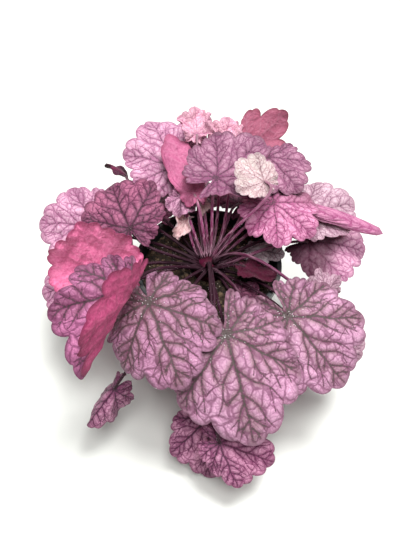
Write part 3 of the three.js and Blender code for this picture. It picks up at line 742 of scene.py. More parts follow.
leafTable = {
    "leaf_front_middle": {"rise": 24, "at": (14, -83, 120), "tip": (37, -147, 58), "roll": 12, "curl": 30,
        "back": -10, "left": (0, -35), "right": (0, -44), "phase": 0.6, "slim": 2.7, "arrive": 45},
    "leaf_front_left": {"at": (-48, -60, 132), "tip": (-20, -121, 102), "roll": 12, "curl": 35,
        "left": (0, -20), "right": (0, -80), "phase": 2, "top": "dusk"},
    "leaf_front_right": {"rise": 24, "at": (65, -63, 119), "tip": (113, -104, 77), "roll": 24, "curl": 30,
        "back": -25, "left": (0, -15), "right": (0, -50), "phase": 4, "slim": 1.9, "arrive": 60},
    "leaf_front_under": {"at": (59, -80, 71), "tip": (75, -96, 43), "curl": 10, "both": (0, -40),
        "arrive": 120, "reach": 0.46, "top": "wine", "pattern": "small"},
    "leaf_right_under": {"rise": 24, "at": (90, -52, 90), "tip": (133, -69, 60), "roll": 25, "curl": 20,
        "arrive": 110, "reach": 0.5, "top": "pale"},
    "leaf_skirt_middle": {"at": (0, -116, 45), "tip": (1, -154, 8), "roll": -5, "curl": 20,
        "left": (0, -25), "right": (0, -35), "arrive": 130, "reach": 0.55, "hook": 0.15, "top": "wine"},
    "leaf_skirt_right": {"rise": 64, "at": (9, -142, 51), "tip": (54, -152, 36), "roll": 20, "curl": 20,
        "left": (0, -20), "right": (0, -55), "slim": 2.2, "arrive": 160, "reach": 0.35, "hook": 0.15,
        "top": "wine", "paintedShade": (60, -0.2, 0.15)},
    "leaf_skirt_left": {"at": (-79, -101, 66), "tip": (-103, -121, 40), "roll": -10, "curl": 15,
        "both": (-50, -60), "arrive": 110, "top": "wine", "pattern": "small"},
    "leaf_left_folded": {"at": (-64, -62, 149), "tip": (-99, -117, 110), "roll": -20, "left": (116, 10),
        "right": (0, -10), "phase": 1, "cut": 0.18, "arrive": 80, "top": "plum"},
    "leaf_left_upturned": {"at": (-95, -20, 126), "tip": (-104, -9, 168), "roll": 152, "curl": 35,
        "wave": 4, "phase": 1, "slim": 1.2, "round": 0.85, "cut": 0.1, "arrive": 90, "top": "wine",
        "under": "raspberry", "crinkle": 0.8, "frill": 1.5},
    "leaf_left_low": {"rise": 24, "at": (-100, -9, 98), "tip": (-152, -4, 70), "roll": -25, "curl": 20,
        "phase": 2, "arrive": 110, "reach": 0.5, "top": "blossom"},
    "leaf_left_outer": {"at": (-99, 32, 124), "tip": (-156, 45, 113), "roll": -25, "phase": 3,
        "top": "blossom", "veins": 0.8, "dim": 0.1},
    "leaf_left_back": {"at": (-68, 16, 138), "tip": (-89, 70, 142), "roll": -15, "phase": 5, "arrive": 65,
        "top": "grey"},
    "leaf_left_curled": {"kind": "dark", "at": (-74, 82, 135), "tip": (-96, 89, 145), "roll": 40,
        "curl": 60, "arrive": 45, "dim": 0.5},
    "leaf_back_left": {"at": (-30, 79, 152), "tip": (-54, 134, 162), "roll": -5, "left": (0, -20),
        "right": (0, -10), "round": 0.5, "top": "blossom", "veins": 0.8},
    "leaf_back_left_upturned": {"rise": 64, "at": (-12, 40, 156), "tip": (-35, 100, 174), "roll": 170,
        "curl": 20, "both": (0, 20), "slim": 14, "round": 0.2, "arrive": 90, "top": "blossom",
        "under": "candy", "pattern": "small", "crinkle": 0.7, "frill": 1.4},
    "leaf_young_back_left": {"kind": "young", "at": (-10, 100, 174), "tip": (-11, 124, 186)},
    "leaf_young_back_right": {"kind": "young", "at": (15, 97, 162), "tip": (21, 124, 174)},
    "leaf_back_right_upturned": {"at": (38, 108, 150), "tip": (76, 140, 168), "roll": -140, "curl": 20,
        "slim": 3, "round": 0.2, "cut": 0.25, "arrive": 90, "top": "mauve", "under": "rose", "dim": 0.3},
    "leaf_back_middle": {"rise": 64, "at": (7, 46, 170), "tip": (48, 83, 183), "curl": -15, "back": -40,
        "left": (0, 30), "right": (0, 40), "round": 0.5, "top": "mauve", "veins": 0.8},
    "leaf_pale_curled": {"rise": 64, "at": (46, 27, 183), "tip": (21, 35, 196), "roll": 150, "curl": 30,
        "arrive": 60, "top": "pale", "under": "chalk", "pattern": "small", "veins": 0.65, "dim": 0.25,
        "crinkle": 0.1},
    "leaf_back_right": {"at": (54, 74, 168), "tip": (80, 39, 159), "roll": 5, "curl": 30, "top": "mauve",
        "under": "maroon", "veins": 0.8, "dim": 0.35},
    "leaf_back_low_left": {"kind": "low", "at": (-52, 58, 114), "tip": (-75, 100, 94)},
    "leaf_back_low": {"kind": "low", "at": (-3, 78, 114), "tip": (2, 122, 94)},
    "leaf_back_low_right": {"kind": "low", "at": (30, 62, 122), "tip": (60, 96, 106), "dim": 0.6},
    "leaf_right_folded": {"rise": 64, "at": (56, 29, 156), "tip": (90, 3, 142), "roll": 5,
        "left": (0, -20), "right": (0, -30), "slim": 1.1, "round": 0.65, "cut": 0.18, "top": "hot",
        "paintedShade": (120, 0.0, 0.7), "veins": 0.8},
    "leaf_right_closed": {"at": (72, 36, 147), "tip": (156, 22, 125), "roll": 12, "curl": 15,
        "both": (-60, -20), "slim": 90, "round": 0.06, "top": "hot", "pattern": "small", "veins": 0.45,
        "dim": 0.3},
    "leaf_right_back": {"at": (85, 38, 132), "tip": (136, 58, 127), "roll": 13, "curl": 30, "slim": 2.8,
        "top": "pale", "veins": 0.8, "dim": 0.45},
    "leaf_right_outer": {"at": (91, 22, 114), "tip": (145, 23, 98), "roll": 15, "curl": 40, "back": -5,
        "arrive": 100, "reach": 0.5, "top": "blossom", "under": "maroon", "paintedShade": (165, -0.6, 0.85),
        "veins": 0.8},
    "leaf_hairy_small": {"at": (37, 13, 112), "tip": (68, 6, 114), "roll": 2, "back": 0, "slim": 5,
        "round": 0.3, "cut": 0.2, "arrive": 50, "top": "silver", "under": "maroon", "pattern": "small",
        "dim": 0.3, "hairy": 0.8},
    "leaf_inner_dark": {"kind": "dark", "at": (32, -14, 121), "tip": (58, -25, 123), "roll": 155,
        "curl": 20, "back": 0, "arrive": 80, "dim": 0.6},
    "leaf_inner_grey": {"rise": 12, "at": (27, -32, 108), "tip": (44, -26, 110), "curl": 5, "back": 0,
        "arrive": 70, "top": "grey", "pattern": "small", "dim": 0.4},
    "leaf_young_purple": {"rise": 64, "at": (-23, 44, 150), "tip": (-25, 24, 143), "wave": 3,
        "top": "blossom", "pattern": "small", "crinkle": 0.7, "frill": 1.4},
    "leaf_bud_left": {"kind": "bud", "at": (-20, 28, 134), "tip": (-26, 13, 126)},
    "leaf_bud_right": {"kind": "bud", "at": (-4, 42, 143), "tip": (-4, 30, 139), "crinkle": 0.4},
    "leaf_right_crumpled": {"rise": 64, "at": (101, -30, 106), "tip": (98, -8, 113), "wave": 3,
        "cut": 0.2, "arrive": 60, "reach": 0.73, "top": "pale", "pattern": "small", "crinkle": 0.7,
        "frill": 1.5},
}

crownShape = {"radius": 14, "centre": 102, "rootDepth": 16, "rootRadius": 12.5, "knobs": 7}
stalkShape = {
    "baseRadius": 1.55, "tipRadius": 1.2, "flare": 1.5, "flareReach": 0.13, "sides": 10, "steps": 26,
    "apart": 1.5, "settle": 200, "sunk": 2.2, "inBlade": 0.5,
}
# painted shade on a stalk: less to the back and to the right, more where it starts low
stalkDim = {"usual": 0.95, "back": 1.1, "right": 0.35, "low": 0.012, "from": 44, "most": 0.94}


def seatStalks(members, rise):
    # spreads the seats round the crown until no two stalks on one ring touch
    ring = (crownShape["radius"] + gap) * math.cos(math.radians(rise))
    spacing = (2 * stalkShape["baseRadius"] + stalkShape["apart"] * gap) / ring
    for leaf in members:
        leaf["seat"] = math.atan2(leaf["at"][1], leaf["at"][0])
    members.sort(key=lambda leaf: leaf["seat"])
    for _ in range(stalkShape["settle"]):
        for i, leaf in enumerate(members):
            following = members[(i + 1) % len(members)]
            wrap = 2 * math.pi if i == len(members) - 1 else 0
            push = max(0, spacing - (following["seat"] + wrap - leaf["seat"])) / 2
            leaf["seat"] -= push
            following["seat"] += push


def stalkPoints(leaf, matrix):
    rise = math.radians(leaf["rise"])
    out = Vector(aroundAxis(math.cos(rise), leaf["seat"], math.sin(rise)))
    seat = Vector((0, 0, crownShape["centre"])) + out * (crownShape["radius"] + gap)
    at = Vector(leaf["at"])
    length = (at - seat).length
    arrive = math.radians(leaf["arrive"])
    inward = matrix.to_3x3() @ Vector((math.sin(arrive), 0, math.cos(arrive)))
    handles = (seat, seat + out * length * leaf["reach"], at - inward * length * leaf["hook"], at)
    points = []
    for i in range(stalkShape["steps"] + 1):
        t = i / stalkShape["steps"]
        weights = ((1 - t) ** 3, 3 * t * (1 - t) ** 2, 3 * t ** 2 * (1 - t), t ** 3)
        points.append(sum((w * h for w, h in zip(weights, handles)), Vector()))
    # it starts inside the crown, and stops within the blade's thickness
    points[0] = points[0] - out * stalkShape["sunk"]
    points[-1] = points[-1] - (points[-1] - points[-2]).normalized() * stalkShape["inBlade"]
    return [p * mm for p in points]


def stalkTree():
    tree, given, inputs = inputTree("growStalk", {
        "Path": "Geometry", "Base Radius": "Float", "Tip Radius": "Float", "Flare": "Float",
        "Sides": "Int", "Skin": "Material",
    }, "Stalk")
    along = outputOf(tree, "GeometryNodeSplineParameter", output="Factor")
    spot = outputOf(tree, "GeometryNodeInputPosition")
    ends = {0: along, 3: given["Base Radius"], 4: given["Tip Radius"]}
    taper = outputOf(tree, "ShaderNodeMapRange", ends)
    foot = ramped(tree, along, 0.0, stalkShape["flareReach"], given["Flare"], 0.0)
    section = {"Resolution": given["Sides"], "Radius": 1.0}
    circle = outputOf(tree, "GeometryNodeCurvePrimitiveCircle", section)
    path, profile = (
        outputOf(
            tree, "GeometryNodeStoreNamedAttribute", {"Geometry": curve, "Name": name, "Value": value},
            data_type=kind, domain="POINT",
        )
        for curve, name, value, kind in (
            (given["Path"], "along", along, "FLOAT"), (circle, "ring", spot, "FLOAT_VECTOR"),
        )
    )
    tube = outputOf(tree, "GeometryNodeCurveToMesh", {
        "Curve": path, "Profile Curve": profile, "Scale": maths(tree, "ADD", taper, foot),
        "Fill Caps": True,
    })
    endTree(tree, tube, given["Skin"])
    return tree, inputs


growStalk = stalkTree()


def stalkMesh(points):
    curve = bpy.data.curves.new("path", "CURVE")
    curve.dimensions = "3D"
    spline = curve.splines.new("POLY")
    spline.points.add(len(points) - 1)
    for target, point in zip(spline.points, points):
        target.co = (*point, 1)
    return addTree(showPiece("path", curve), *growStalk, {
        "Base Radius": stalkShape["baseRadius"] * mm, "Tip Radius": stalkShape["tipRadius"] * mm,
        "Flare": stalkShape["flare"] * mm, "Sides": stalkShape["sides"], "Skin": stalkSkin,
    })


# the waves along and across a blade, each swayed by a slower one, and a fine one over both
crinkles = {"along": (0.31, 1.7, 0.23), "across": (0.37, 1.3, 0.19), "fine": (0.5, 0.7, 0.66)}


def crinkled(leaf, u, v):
    beat, sway, slow = crinkles["along"]
    along = np.sin(u * beat + sway * np.sin(v * slow) + leaf["phase"])
    beat, sway, slow = crinkles["across"]
    across = np.sin(v * beat + sway * np.sin(u * slow) + 2 * leaf["phase"])
    height, beatAlong, beatAcross = crinkles["fine"]
    fine = height * np.sin(u * beatAlong) * np.sin(v * beatAcross)
    return leaf["crinkle"] * (along + across + fine)


def bladeArrays(leaf, pattern, matrix):
    # the flat points of the pattern, and where they lie on the blade's two faces
    flat = pattern["flat"] * (1, -1 if leaf["mirror"] else 1)
    lobe = lobeAt(np.arctan2(flat[:, 1], flat[:, 0]))
    stretch = leaf["size"] * envelope(leaf, lobe) / envelope(plainLeaf, lobe)
    stretch = stretch * outlineShare(leaf, lobe) / outlineShare(plainLeaf, lobe)
    u, v = flat[:, 0] * stretch, flat[:, 1] * stretch
    middle = formPoint(leaf, u, v)
    normal = formNormal(leaf, u, v)
    height = bladeShape["relief"] * leaf["size"] / bladeShape["reliefSize"]
    rise = np.minimum(1, pattern["share"] * bladeShape["crinkleRise"])
    lift = height * pattern["relief"] + crinkled(leaf, u, v) * rise
    half = bladeShape["half"] * (1 - bladeShape["rimThin"] * pattern["edge"])
    turn = np.array(matrix.to_3x3())
    at = np.array(matrix.translation)
    top, under = (
        (middle + normal * offset[:, None]) @ turn.T + at for offset in (lift + half, lift - half)
    )
    return flat, top * mm, under * mm


def paintedShadeOver(leaf, flat):
    # painted shade over one side of the blade: its direction in degrees, how far out it starts, its most
    if "paintedShade" not in leaf:
        return np.zeros(len(flat))
    turn, start, most = leaf["paintedShade"]
    reach = flat[:, 0] * math.cos(math.radians(turn)) + flat[:, 1] * math.sin(math.radians(turn))
    amount = np.clip((reach - start) / bladeShape["paintedShadeWidth"], 0, 1)
    return most * amount * amount * (3 - 2 * amount)


def stalkShade(leaf):
    toBack, toRight = max(0, math.sin(leaf["seat"])), max(0, math.cos(leaf["seat"]))
    shade = stalkDim["usual"] - stalkDim["back"] * toBack - stalkDim["right"] * toRight
    shade = shade + stalkDim["low"] * max(0, stalkDim["from"] - leaf["rise"]) + leaf["dim"]
    return min(stalkDim["most"], max(0, shade))


def markLeaf(mesh, leaf, pattern, flat, stalk):
    # both faces carry the pattern's marks, and the stalk its places along and around itself
    along = readValues(stalk.attributes["along"].data, "value")
    around = readValues(stalk.attributes["ring"].data, "vector", 3)
    none = np.zeros(len(along))
    marks = {name: pattern[name] for name in ("vein", "zone", "edge", "cell")}
    for name in ("vein", "zone"):
        marks[name] = marks[name] * leaf["veins"]
    marks["paintedShade"] = paintedShadeOver(leaf, flat)
    marks["along"] = np.ones(len(flat))
    # the stalk's corners carry its painted shade, in the same attribute as the blade's shaded side
    onStalk = {"paintedShade": np.full(len(along), stalkShade(leaf)), "along": along}
    addPointValues(mesh, {
        name: np.concatenate([mark, mark, onStalk.get(name, none)]) for name, mark in marks.items()
    })
    ring = mesh.attributes.new("ring", "FLOAT_VECTOR", "POINT")
    ring.data.foreach_set("vector", np.concatenate([np.zeros(6 * len(flat)), around.ravel()]))
    place = np.concatenate([flat, flat, np.stack([none, along], 1)]) * 0.5 + 0.5
    loops = readValues(mesh.loops, "vertex_index", kind=int)
    mesh.uv_layers.new(name="flat").data.foreach_set("uv", place[loops].ravel())


def sharpenRim(mesh, rimEdges, count):
    edges = {(min(a, b), max(a, b)) for a, b in rimEdges}
    edges |= {(a + count, b + count) for a, b in edges}
    pairs = np.sort(readValues(mesh.edges, "vertices", 2, int), 1)
    sharp = mesh.attributes.new("sharp_edge", "BOOLEAN", "EDGE")
    sharp.data.foreach_set("value", np.array([tuple(p) in edges for p in pairs]))


# the order of a leaf's materials
topSide, underSide, stalkSide = 0, 1, 2


def makeLeaf(node, leaf):
    # the top, then the under side, the band between them, and the stalk
    matrix = bladeMatrix(leaf)
    choices = patterns[leaf["pattern"]]
    pattern = choices[leaf["draw"] % len(choices)]
    flat, top, under = bladeArrays(leaf, pattern, matrix)
    count = len(flat)
    triangles, rim = np.array(pattern["triangles"]), pattern["rim"]
    if leaf["mirror"]:
        triangles, rim = triangles[:, ::-1], rim[::-1]
    rimEdges = list(zip(rim, rim[1:] + rim[:1]))
    band = [(a, a + count, b + count, b) for a, b in rimEdges]
    stalk = stalkMesh(stalkPoints(leaf, matrix))
    stalkFaces = [tuple(2 * count + i for i in face.vertices) for face in stalk.polygons]
    faces = [*map(tuple, triangles), *map(tuple, triangles[:, ::-1] + count), *band, *stalkFaces]
    corners = np.concatenate([top, under, readValues(stalk.vertices, "co", 3)])
    mesh = meshFrom(leaf["piece"], corners, faces)
    counts = [len(triangles), len(triangles), len(band), len(stalkFaces)]
    setFaces(mesh, np.repeat([topSide, underSide, underSide, stalkSide], counts))
    markLeaf(mesh, leaf, pattern, flat, stalk)
    sharpenRim(mesh, rimEdges, count)
    for material in (materials["top_" + leaf["top"]], materials["under_" + leaf["under"]], stalkSkin):
        mesh.materials.append(material)
    seatPiece(leaf["piece"], mesh, node)
    return mesh


leaves = {}
for number, (node, own) in enumerate(leafTable.items()):
    leaf = {"draw": number, "mirror": number % 2 == 1}
    for source in (usual, leafKinds[own.get("kind", "plain")], own):
        leaf.update(source)
        if "both" in source:
            leaf["left"] = leaf["right"] = source["both"]
    words = node.split("_")
    leaf["piece"] = "".join([words[1], *(w.capitalize() for w in words[2:]), "Leaf"])
    leaf["size"] = bladeSize(leaf)
    leaves[node] = leaf
for rise in {leaf["rise"] for leaf in leaves.values()}:
    seatStalks([leaf for leaf in leaves.values() if leaf["rise"] == rise], rise)

leafMeshes = {}
for node, leaf in leaves.items():
    mesh = makeLeaf(node, leaf)
    leafMeshes[node] = mesh
    low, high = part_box(node)
    spots = readValues(mesh.vertices, "co", 3)
    off = max(*(spots.max(0) - np.array(high)), *(np.array(low) - spots.min(0)))
    print(f"{leaf['piece']}: {len(mesh.polygons)} faces, {1000 * off:.1f} mm past its node")


def revolved(name, profile, sides):
    corners, faces, rings = [], [], []
    for radius, z in profile:
        count = sides if radius > 1e-6 else 1  # a ring on the axis is one point
        rings.append([len(corners) + i % count for i in range(sides)])
        corners += [aroundAxis(radius, 2 * math.pi * i / sides, z) for i in range(count)]
    for low, high in zip(rings, rings[1:]):
        for i in range(sides):
            j = (i + 1) % sides
            face = list(dict.fromkeys((low[i], low[j], high[j], high[i])))
            if len(face) > 2:
                faces.append(face)
    return meshFrom(name, [tuple(c * mm for c in p) for p in corners], faces)


crownLook = {
    "tones": ("22030b", "480a26", "8a3a5c"), "lumps": (160, 4), "lump": (0.35, 0.65),
    "fine": (420, 2), "speck": (0.58, 0.72, 0.0, 0.2), "fineRelief": 0.0,
    "roughness": (0.3, 0.7, 0.45, 0.65), "specular": 0.12, "bump": (0.7, 0.001),
    "rows": 26, "sides": 96, "footEase": 0.6, "rootSteps": 10, "rootFlare": 0.1, "rootRise": 1.2,
    "knobDepth": 0.05, "knobTwist": 2, "roughDepth": 0.05, "coarse": 260, "finer": 700, "finerShare": 0.5,
}


def makeCrown(crown, look):
    bottom = crown["centre"] - crown["rootDepth"]
    profile = [(0, bottom), (crown["rootRadius"] - look["footEase"], bottom)]
    for i in range(1, look["rootSteps"] + 1):
        profile.append((crown["rootRadius"] + look["rootFlare"] * i, bottom + look["rootRise"] * i))
    for row in range(look["rows"] + 1):
        rise = row / look["rows"] * math.pi / 2
        out, up = crown["radius"] * math.cos(rise), crown["radius"] * math.sin(rise)
        profile.append((out, crown["centre"] + up))
    profile[-1] = (0, profile[-1][1])
    mesh = revolved("rootCrown", profile, look["sides"])
    for corner in mesh.vertices:
        turn = math.atan2(corner.co.y, corner.co.x)
        knob = 0.5 + 0.5 * math.cos(crown["knobs"] * turn + corner.co.z / mm / look["knobTwist"])
        rough = noise.noise(corner.co * look["coarse"])
        rough = rough + look["finerShare"] * noise.noise(corner.co * look["finer"])
        shrink = 1 - look["knobDepth"] * knob - look["roughDepth"] + look["roughDepth"] * rough
        corner.co.x *= shrink
        corner.co.y *= shrink
    setFaces(mesh)
    mesh.materials.append(makeLumpyMaterial("crownSkin", look, look["tones"]))
    seatPiece("rootCrown", mesh, "crown")


makeCrown(crownShape, crownLook)
print("crown made")


potShape = {
    "height": 112, "rimRadius": 65, "lipHeight": 10, "lipStep": 2.6, "baseRadius": 46, "wall": 1.8,
    "lipSlope": (0.8, 0.6), "mouthEase": 0.4, "cornerShare": 0.45, "punchDepth": 10.8,
    "drainHoles": 6, "drainRadius": 4.5, "drainCircle": 31, "drainSides": 32, "sides": 144,
    "bends": (0, 1.6, 0.6, 0.5, 0.9, 0.6, 0.8, 1.0, 0), "bendSteps": 5, "sharpFrom": 40,
}
# dust: splashed soil dries pale around the foot and on the lip
potLook = {
    "clouds": (14, 4), "grain": (1400, 2), "plastic": (0.3, 0.7), "tones": ("16191b", "23282b"),
    "footDust": (0.03, 0.0, 0.0, 0.35), "lipDust": (0.09, 0.112, 0.0, 0.3), "spots": (75, 5, 0.7),
    "spot": (0.48, 0.7), "dustTone": "6d5f52", "dustRoughness": 0.5, "roughness": (0.3, 0.7, 0.34, 0.46),
    "bump": (0.25, 0.0003),
}


def makePotMaterial(look):
    material, tree, place = startMaterial("potPlastic")
    height = outputOf(tree, "ShaderNodeSeparateXYZ", {0: place}, 2)
    clouds, grain, spots = (noiseAt(tree, place, *look[item]) for item in ("clouds", "grain", "spots"))
    plastic = mixed(tree, ramped(tree, clouds, *look["plastic"]), *map(colour, look["tones"]))
    dust = maths(tree, "ADD", *(ramped(tree, height, *look[item]) for item in ("footDust", "lipDust")))
    dusty = maths(tree, "MULTIPLY", dust, ramped(tree, spots, *look["spot"]))
    plastic = mixed(tree, dusty, plastic, colour(look["dustTone"]))
    clean = ramped(tree, clouds, *look["roughness"])
    roughness = maths(tree, "MULTIPLY_ADD", dusty, look["dustRoughness"], clean)
    setSkin(tree, plastic, roughness, relief=grain, bump=look["bump"])
    return material


def wallRadius(z):
    pot = potShape
    return pot["baseRadius"] + (pot["rimRadius"] - pot["lipStep"] - pot["baseRadius"]) * z / pot["height"]


def roundCorner(before, corner, after, radius, steps):
    before, corner, after = Vector(before), Vector(corner), Vector(after)
    most = potShape["cornerShare"]
    start, end = (
        corner + (other - corner).normalized() * min(radius, (other - corner).length * most)
        for other in (before, after)
    )
    return [
        tuple((1 - t) ** 2 * start + 2 * t * (1 - t) * corner + t ** 2 * end)
        for t in (i / steps for i in range(steps + 1))
    ]


def makePot(pot):
    top, foot, floor = pot["height"], pot["height"] - pot["lipHeight"], pot["wall"]
    inside = {z: wallRadius(z) - pot["wall"] for z in (top, foot, floor)}
    slopeIn, slopeUp = pot["lipSlope"]
    outline = [
        (0, 0), (pot["baseRadius"], 0), (wallRadius(foot), foot),
        (pot["rimRadius"] - slopeIn, foot + slopeUp), (pot["rimRadius"], top),
        (inside[top] + pot["mouthEase"], top), (inside[foot], foot), (inside[floor], floor), (0, floor),
    ]
    profile = [outline[0]]
    for i in range(1, len(outline) - 1):
        profile += roundCorner(*outline[i - 1:i + 2], pot["bends"][i], pot["bendSteps"])
    profile.append(outline[-1])
    shell = showPiece("nurseryPot", revolved("nurseryPot", profile, pot["sides"]))
    punch = bmesh.new()
    for i in range(pot["drainHoles"]):
        turn = 2 * math.pi * i / pot["drainHoles"]
        bmesh.ops.create_cone(
            punch, cap_ends=True, segments=pot["drainSides"], radius1=pot["drainRadius"] * mm,
            radius2=pot["drainRadius"] * mm, depth=pot["punchDepth"] * mm,
            matrix=Matrix.Translation(aroundAxis(pot["drainCircle"] * mm, turn, 0)),
        )
    punches = showPiece("punch", meshOf("punch", punch))
    cut = shell.modifiers.new("drain", "BOOLEAN")
    cut.operation = "DIFFERENCE"
    cut.object = punches
    mesh = appliedMesh(shell)
    bpy.data.objects.remove(punches)
    mesh.name = "nurseryPot"
    mesh.materials.clear()
    mesh.materials.append(makePotMaterial(potLook))
    setFaces(mesh, np.zeros(len(mesh.polygons), int))
    mesh.set_sharp_from_angle(angle=math.radians(pot["sharpFrom"]))
    seatPiece("nurseryPot", mesh, "pot")


makePot(potShape)
print("pot made")


# a swirl is its turns round the bed, the millimetres outwards for each radian, and its start
soilShape = {
    "level": 101, "rough": 1.5, "mound": 1, "rings": 74, "sides": 190, "seed": 5,
    "swirls": ((3, 7, 0), (5, -4, 1)), "ripple": 3, "fadeRings": (4, 3), "clods": (0.16, 1.0, 2.0, 5),
    "clodHeight": 1.3, "grit": 1.1, "gritHeight": 0.35,
}
soilLook = {
    "tones": ("150f0b", "382b20", "78634c"), "lumps": (260, 5, 0.7), "lump": (0.35, 0.68),
    "fine": (1500, 3, 0.7), "speck": (0.62, 0.72, 0.0, 0.6), "fineRelief": 1.0,
    "roughness": (0.3, 0.7, 0.6, 0.95), "specular": 0.3, "bump": (0.9, 0.0012),
}
# what lies over the mix: how many to the square metre, their sizes in millimetres, their tones
strewn = {
    "mixCrumbs": {
        "density": 230000, "least": 0.5, "most": 1.9, "flat": 0.75, "seed": 3,
        "tones": ("1c1510", "4a3828", "8a6f50"),
    },
    "barkChips": {
        "density": 26000, "least": 1.6, "most": 3.8, "flat": 0.4, "seed": 8,
        "tones": ("40342a", "76604a", "a38e72"),
    },
    "paleFlecks": {
        "density": 16000, "least": 0.4, "most": 1.1, "flat": 0.8, "seed": 14,
        "tones": ("a3947f", "d8ccb6", "efe6d4"),
    },
}
strewnOn = {"above": 96, "inner": 15, "outer": 57, "tumble": 0.5}


def soilTop(mix, edge, radius, turn, fade):
    swirls = [math.sin(beat * turn + radius / reach + start) for beat, reach, start in mix["swirls"]]
    lumps = (sum(swirls) + math.cos(radius / mix["ripple"])) / (len(swirls) + 1)
    height = mix["level"] + mix["mound"] * (1 - (radius / edge) ** 2) + mix["rough"] * lumps
    spot = Vector(aroundAxis(radius, turn, mix["seed"]))
    scale, *octaves = mix["clods"]
    rough = noise.fractal(spot * scale, *octaves) * mix["clodHeight"]
    return height + (rough + noise.noise(spot * mix["grit"]) * mix["gritHeight"]) * fade


def makeSoil(mix):
    # a closed bed with a plain round hole for the crown
    floor = potShape["wall"] + gap
    edge, floorEdge = (wallRadius(z) - potShape["wall"] - gap for z in (mix["level"], floor))
    hole = crownShape["radius"] + gap
    holeFloor = crownShape["centre"] - crownShape["rootDepth"] - gap
    sides, rings = mix["sides"], mix["rings"]
    turns = [2 * math.pi * i / sides for i in range(sides)]
    fadeOut, fadeIn = mix["fadeRings"]
    rows = [[(0.0, floor)] * sides, [(floorEdge, floor)] * sides]
    for ring in range(rings + 1):
        radius = edge + (hole - edge) * ring / rings
        fade = min(1, ring / fadeOut, (rings - ring) / fadeIn)
        rows.append([(radius, soilTop(mix, edge, radius, turn, fade)) for turn in turns])
    rows += [[(hole, holeFloor)] * sides, [(0.0, holeFloor)] * sides]
    corners = [
        tuple(c * mm for c in aroundAxis(radius, turn, z))
        for row in rows for (radius, z), turn in zip(row, turns)
    ]
    faces = [
        (r + i, r + j, r + sides + j, r + sides + i)
        for r in range(0, (len(rows) - 1) * sides, sides)
        for i, j in zip(range(sides), [*range(1, sides), 0])
    ]
    shape = bmesh.new()
    shape.from_mesh(meshFrom("bed", corners, faces))
    bmesh.ops.remove_doubles(shape, verts=shape.verts, dist=1e-7)
    bmesh.ops.recalc_face_normals(shape, faces=shape.faces)
    mesh = meshOf("pottingMix", shape)
    setFaces(mesh)
    mesh.materials.append(makeLumpyMaterial("mixDark", soilLook, soilLook["tones"]))
    seatPiece("pottingMix", mesh, "soil")
    return mesh


lumpShape = {"least": 0.8, "swell": 0.45, "scale": 1.3}


def lumpMesh(name, seed):
    lump = lumpShape
    shape = bmesh.new()
    bmesh.ops.create_icosphere(shape, subdivisions=1, radius=1)
    for corner in shape.verts:
        swell = noise.noise(corner.co * lump["scale"] + Vector((seed, 0, 0)))
        corner.co *= lump["least"] + lump["swell"] * swell
    return meshOf(name, shape)


def strewTree():
    tree, given, inputs = inputTree("strew", {
        "Bed": "Geometry", "Grain": "Object", "Density": "Float", "Where": "String",
        "Least": "Vector", "Most": "Vector", "Tumble": "Float", "Seed": "Int", "Skin": "Material",
    }, "Strewn")
    named = {"Name": given["Where"]}
    where = outputOf(tree, "GeometryNodeInputNamedAttribute", named, "Attribute", data_type="FLOAT")
    spread = newNode(tree, "GeometryNodeDistributePointsOnFaces", {
        "Mesh": given["Bed"], "Density": maths(tree, "MULTIPLY", where, given["Density"]),
        "Seed": given["Seed"],
    }).outputs
    grain = outputOf(tree, "GeometryNodeObjectInfo", {"Object": given["Grain"]}, "Geometry")
    sizes = {0: given["Least"], 1: given["Most"], "Seed": given["Seed"]}
    size = outputOf(tree, "FunctionNodeRandomValue", sizes, data_type="FLOAT_VECTOR")
    # each grain leans a little to any side, and turns all the way round
    tumble, halfTurn = given["Tumble"], 3.14
    sides = ((maths(tree, "MULTIPLY", tumble, -1.0), -halfTurn), (tumble, halfTurn))
    angles = {
        i: outputOf(tree, "ShaderNodeCombineXYZ", {0: lean, 1: lean, 2: turn})
        for i, (lean, turn) in enumerate(sides)
    }
    lean = outputOf(tree, "FunctionNodeRandomValue", angles, data_type="FLOAT_VECTOR")
    turns = {0: spread["Rotation"], 1: outputOf(tree, "FunctionNodeEulerToRotation", {0: lean})}
    whole = outputOf(tree, "FunctionNodeRotateRotation", turns, rotation_space="LOCAL")
    copies = outputOf(tree, "GeometryNodeInstanceOnPoints", {
        "Points": spread["Points"], "Instance": grain, "Rotation": whole, "Scale": size,
    })
    endTree(tree, copies, given["Skin"])
    return tree, inputs


strew = strewTree()


def strewOver(name, bed, grain, where, look, skin, smooth=False):
    # look gives the density and seed, and the least and most size along each axis
    base = showPiece(name, bed.copy())
    grainPiece = showPiece(name + "Grain", grain)
    mesh = addTree(base, *strew, {
        "Grain": grainPiece, "Where": where, "Skin": skin, "Density": float(look["density"]),
        "Least": [side * mm for side in look["leastSides"]],
        "Most": [side * mm for side in look["mostSides"]], "Tumble": look["tumble"], "Seed": look["seed"],
    })
    bpy.data.objects.remove(grainPiece)
    mesh.name = name
    for index in range(len(mesh.materials) - 1, -1, -1):
        if mesh.materials[index] != skin:
            mesh.materials.pop(index=index)
    setFaces(mesh, np.zeros(len(mesh.polygons), int), smooth)
    seatPiece(name, mesh)
    print(f"{name}: {len(mesh.polygons)} faces")


def strewSoil(bed):
    spots = readValues(bed.vertices, "co", 3) / mm
    radius = np.hypot(spots[:, 0], spots[:, 1])
    onRing = (radius < strewnOn["outer"]) & (radius > strewnOn["inner"])
    addPointValues(bed, {"shown": onRing & (spots[:, 2] > strewnOn["above"])})
    for name, grains in strewn.items():
        scales = (1, 1, grains["flat"])
        sizes = {item + "Sides": [grains[item] * k for k in scales] for item in ("least", "most")}
        look = {**grains, **sizes, "tumble": strewnOn["tumble"]}
        skin = makeLumpyMaterial(name + "Skin", soilLook, grains["tones"])
        strewOver(name, bed, lumpMesh("lump", grains["seed"]), "shown", look, skin)


strewSoil(makeSoil(soilShape))


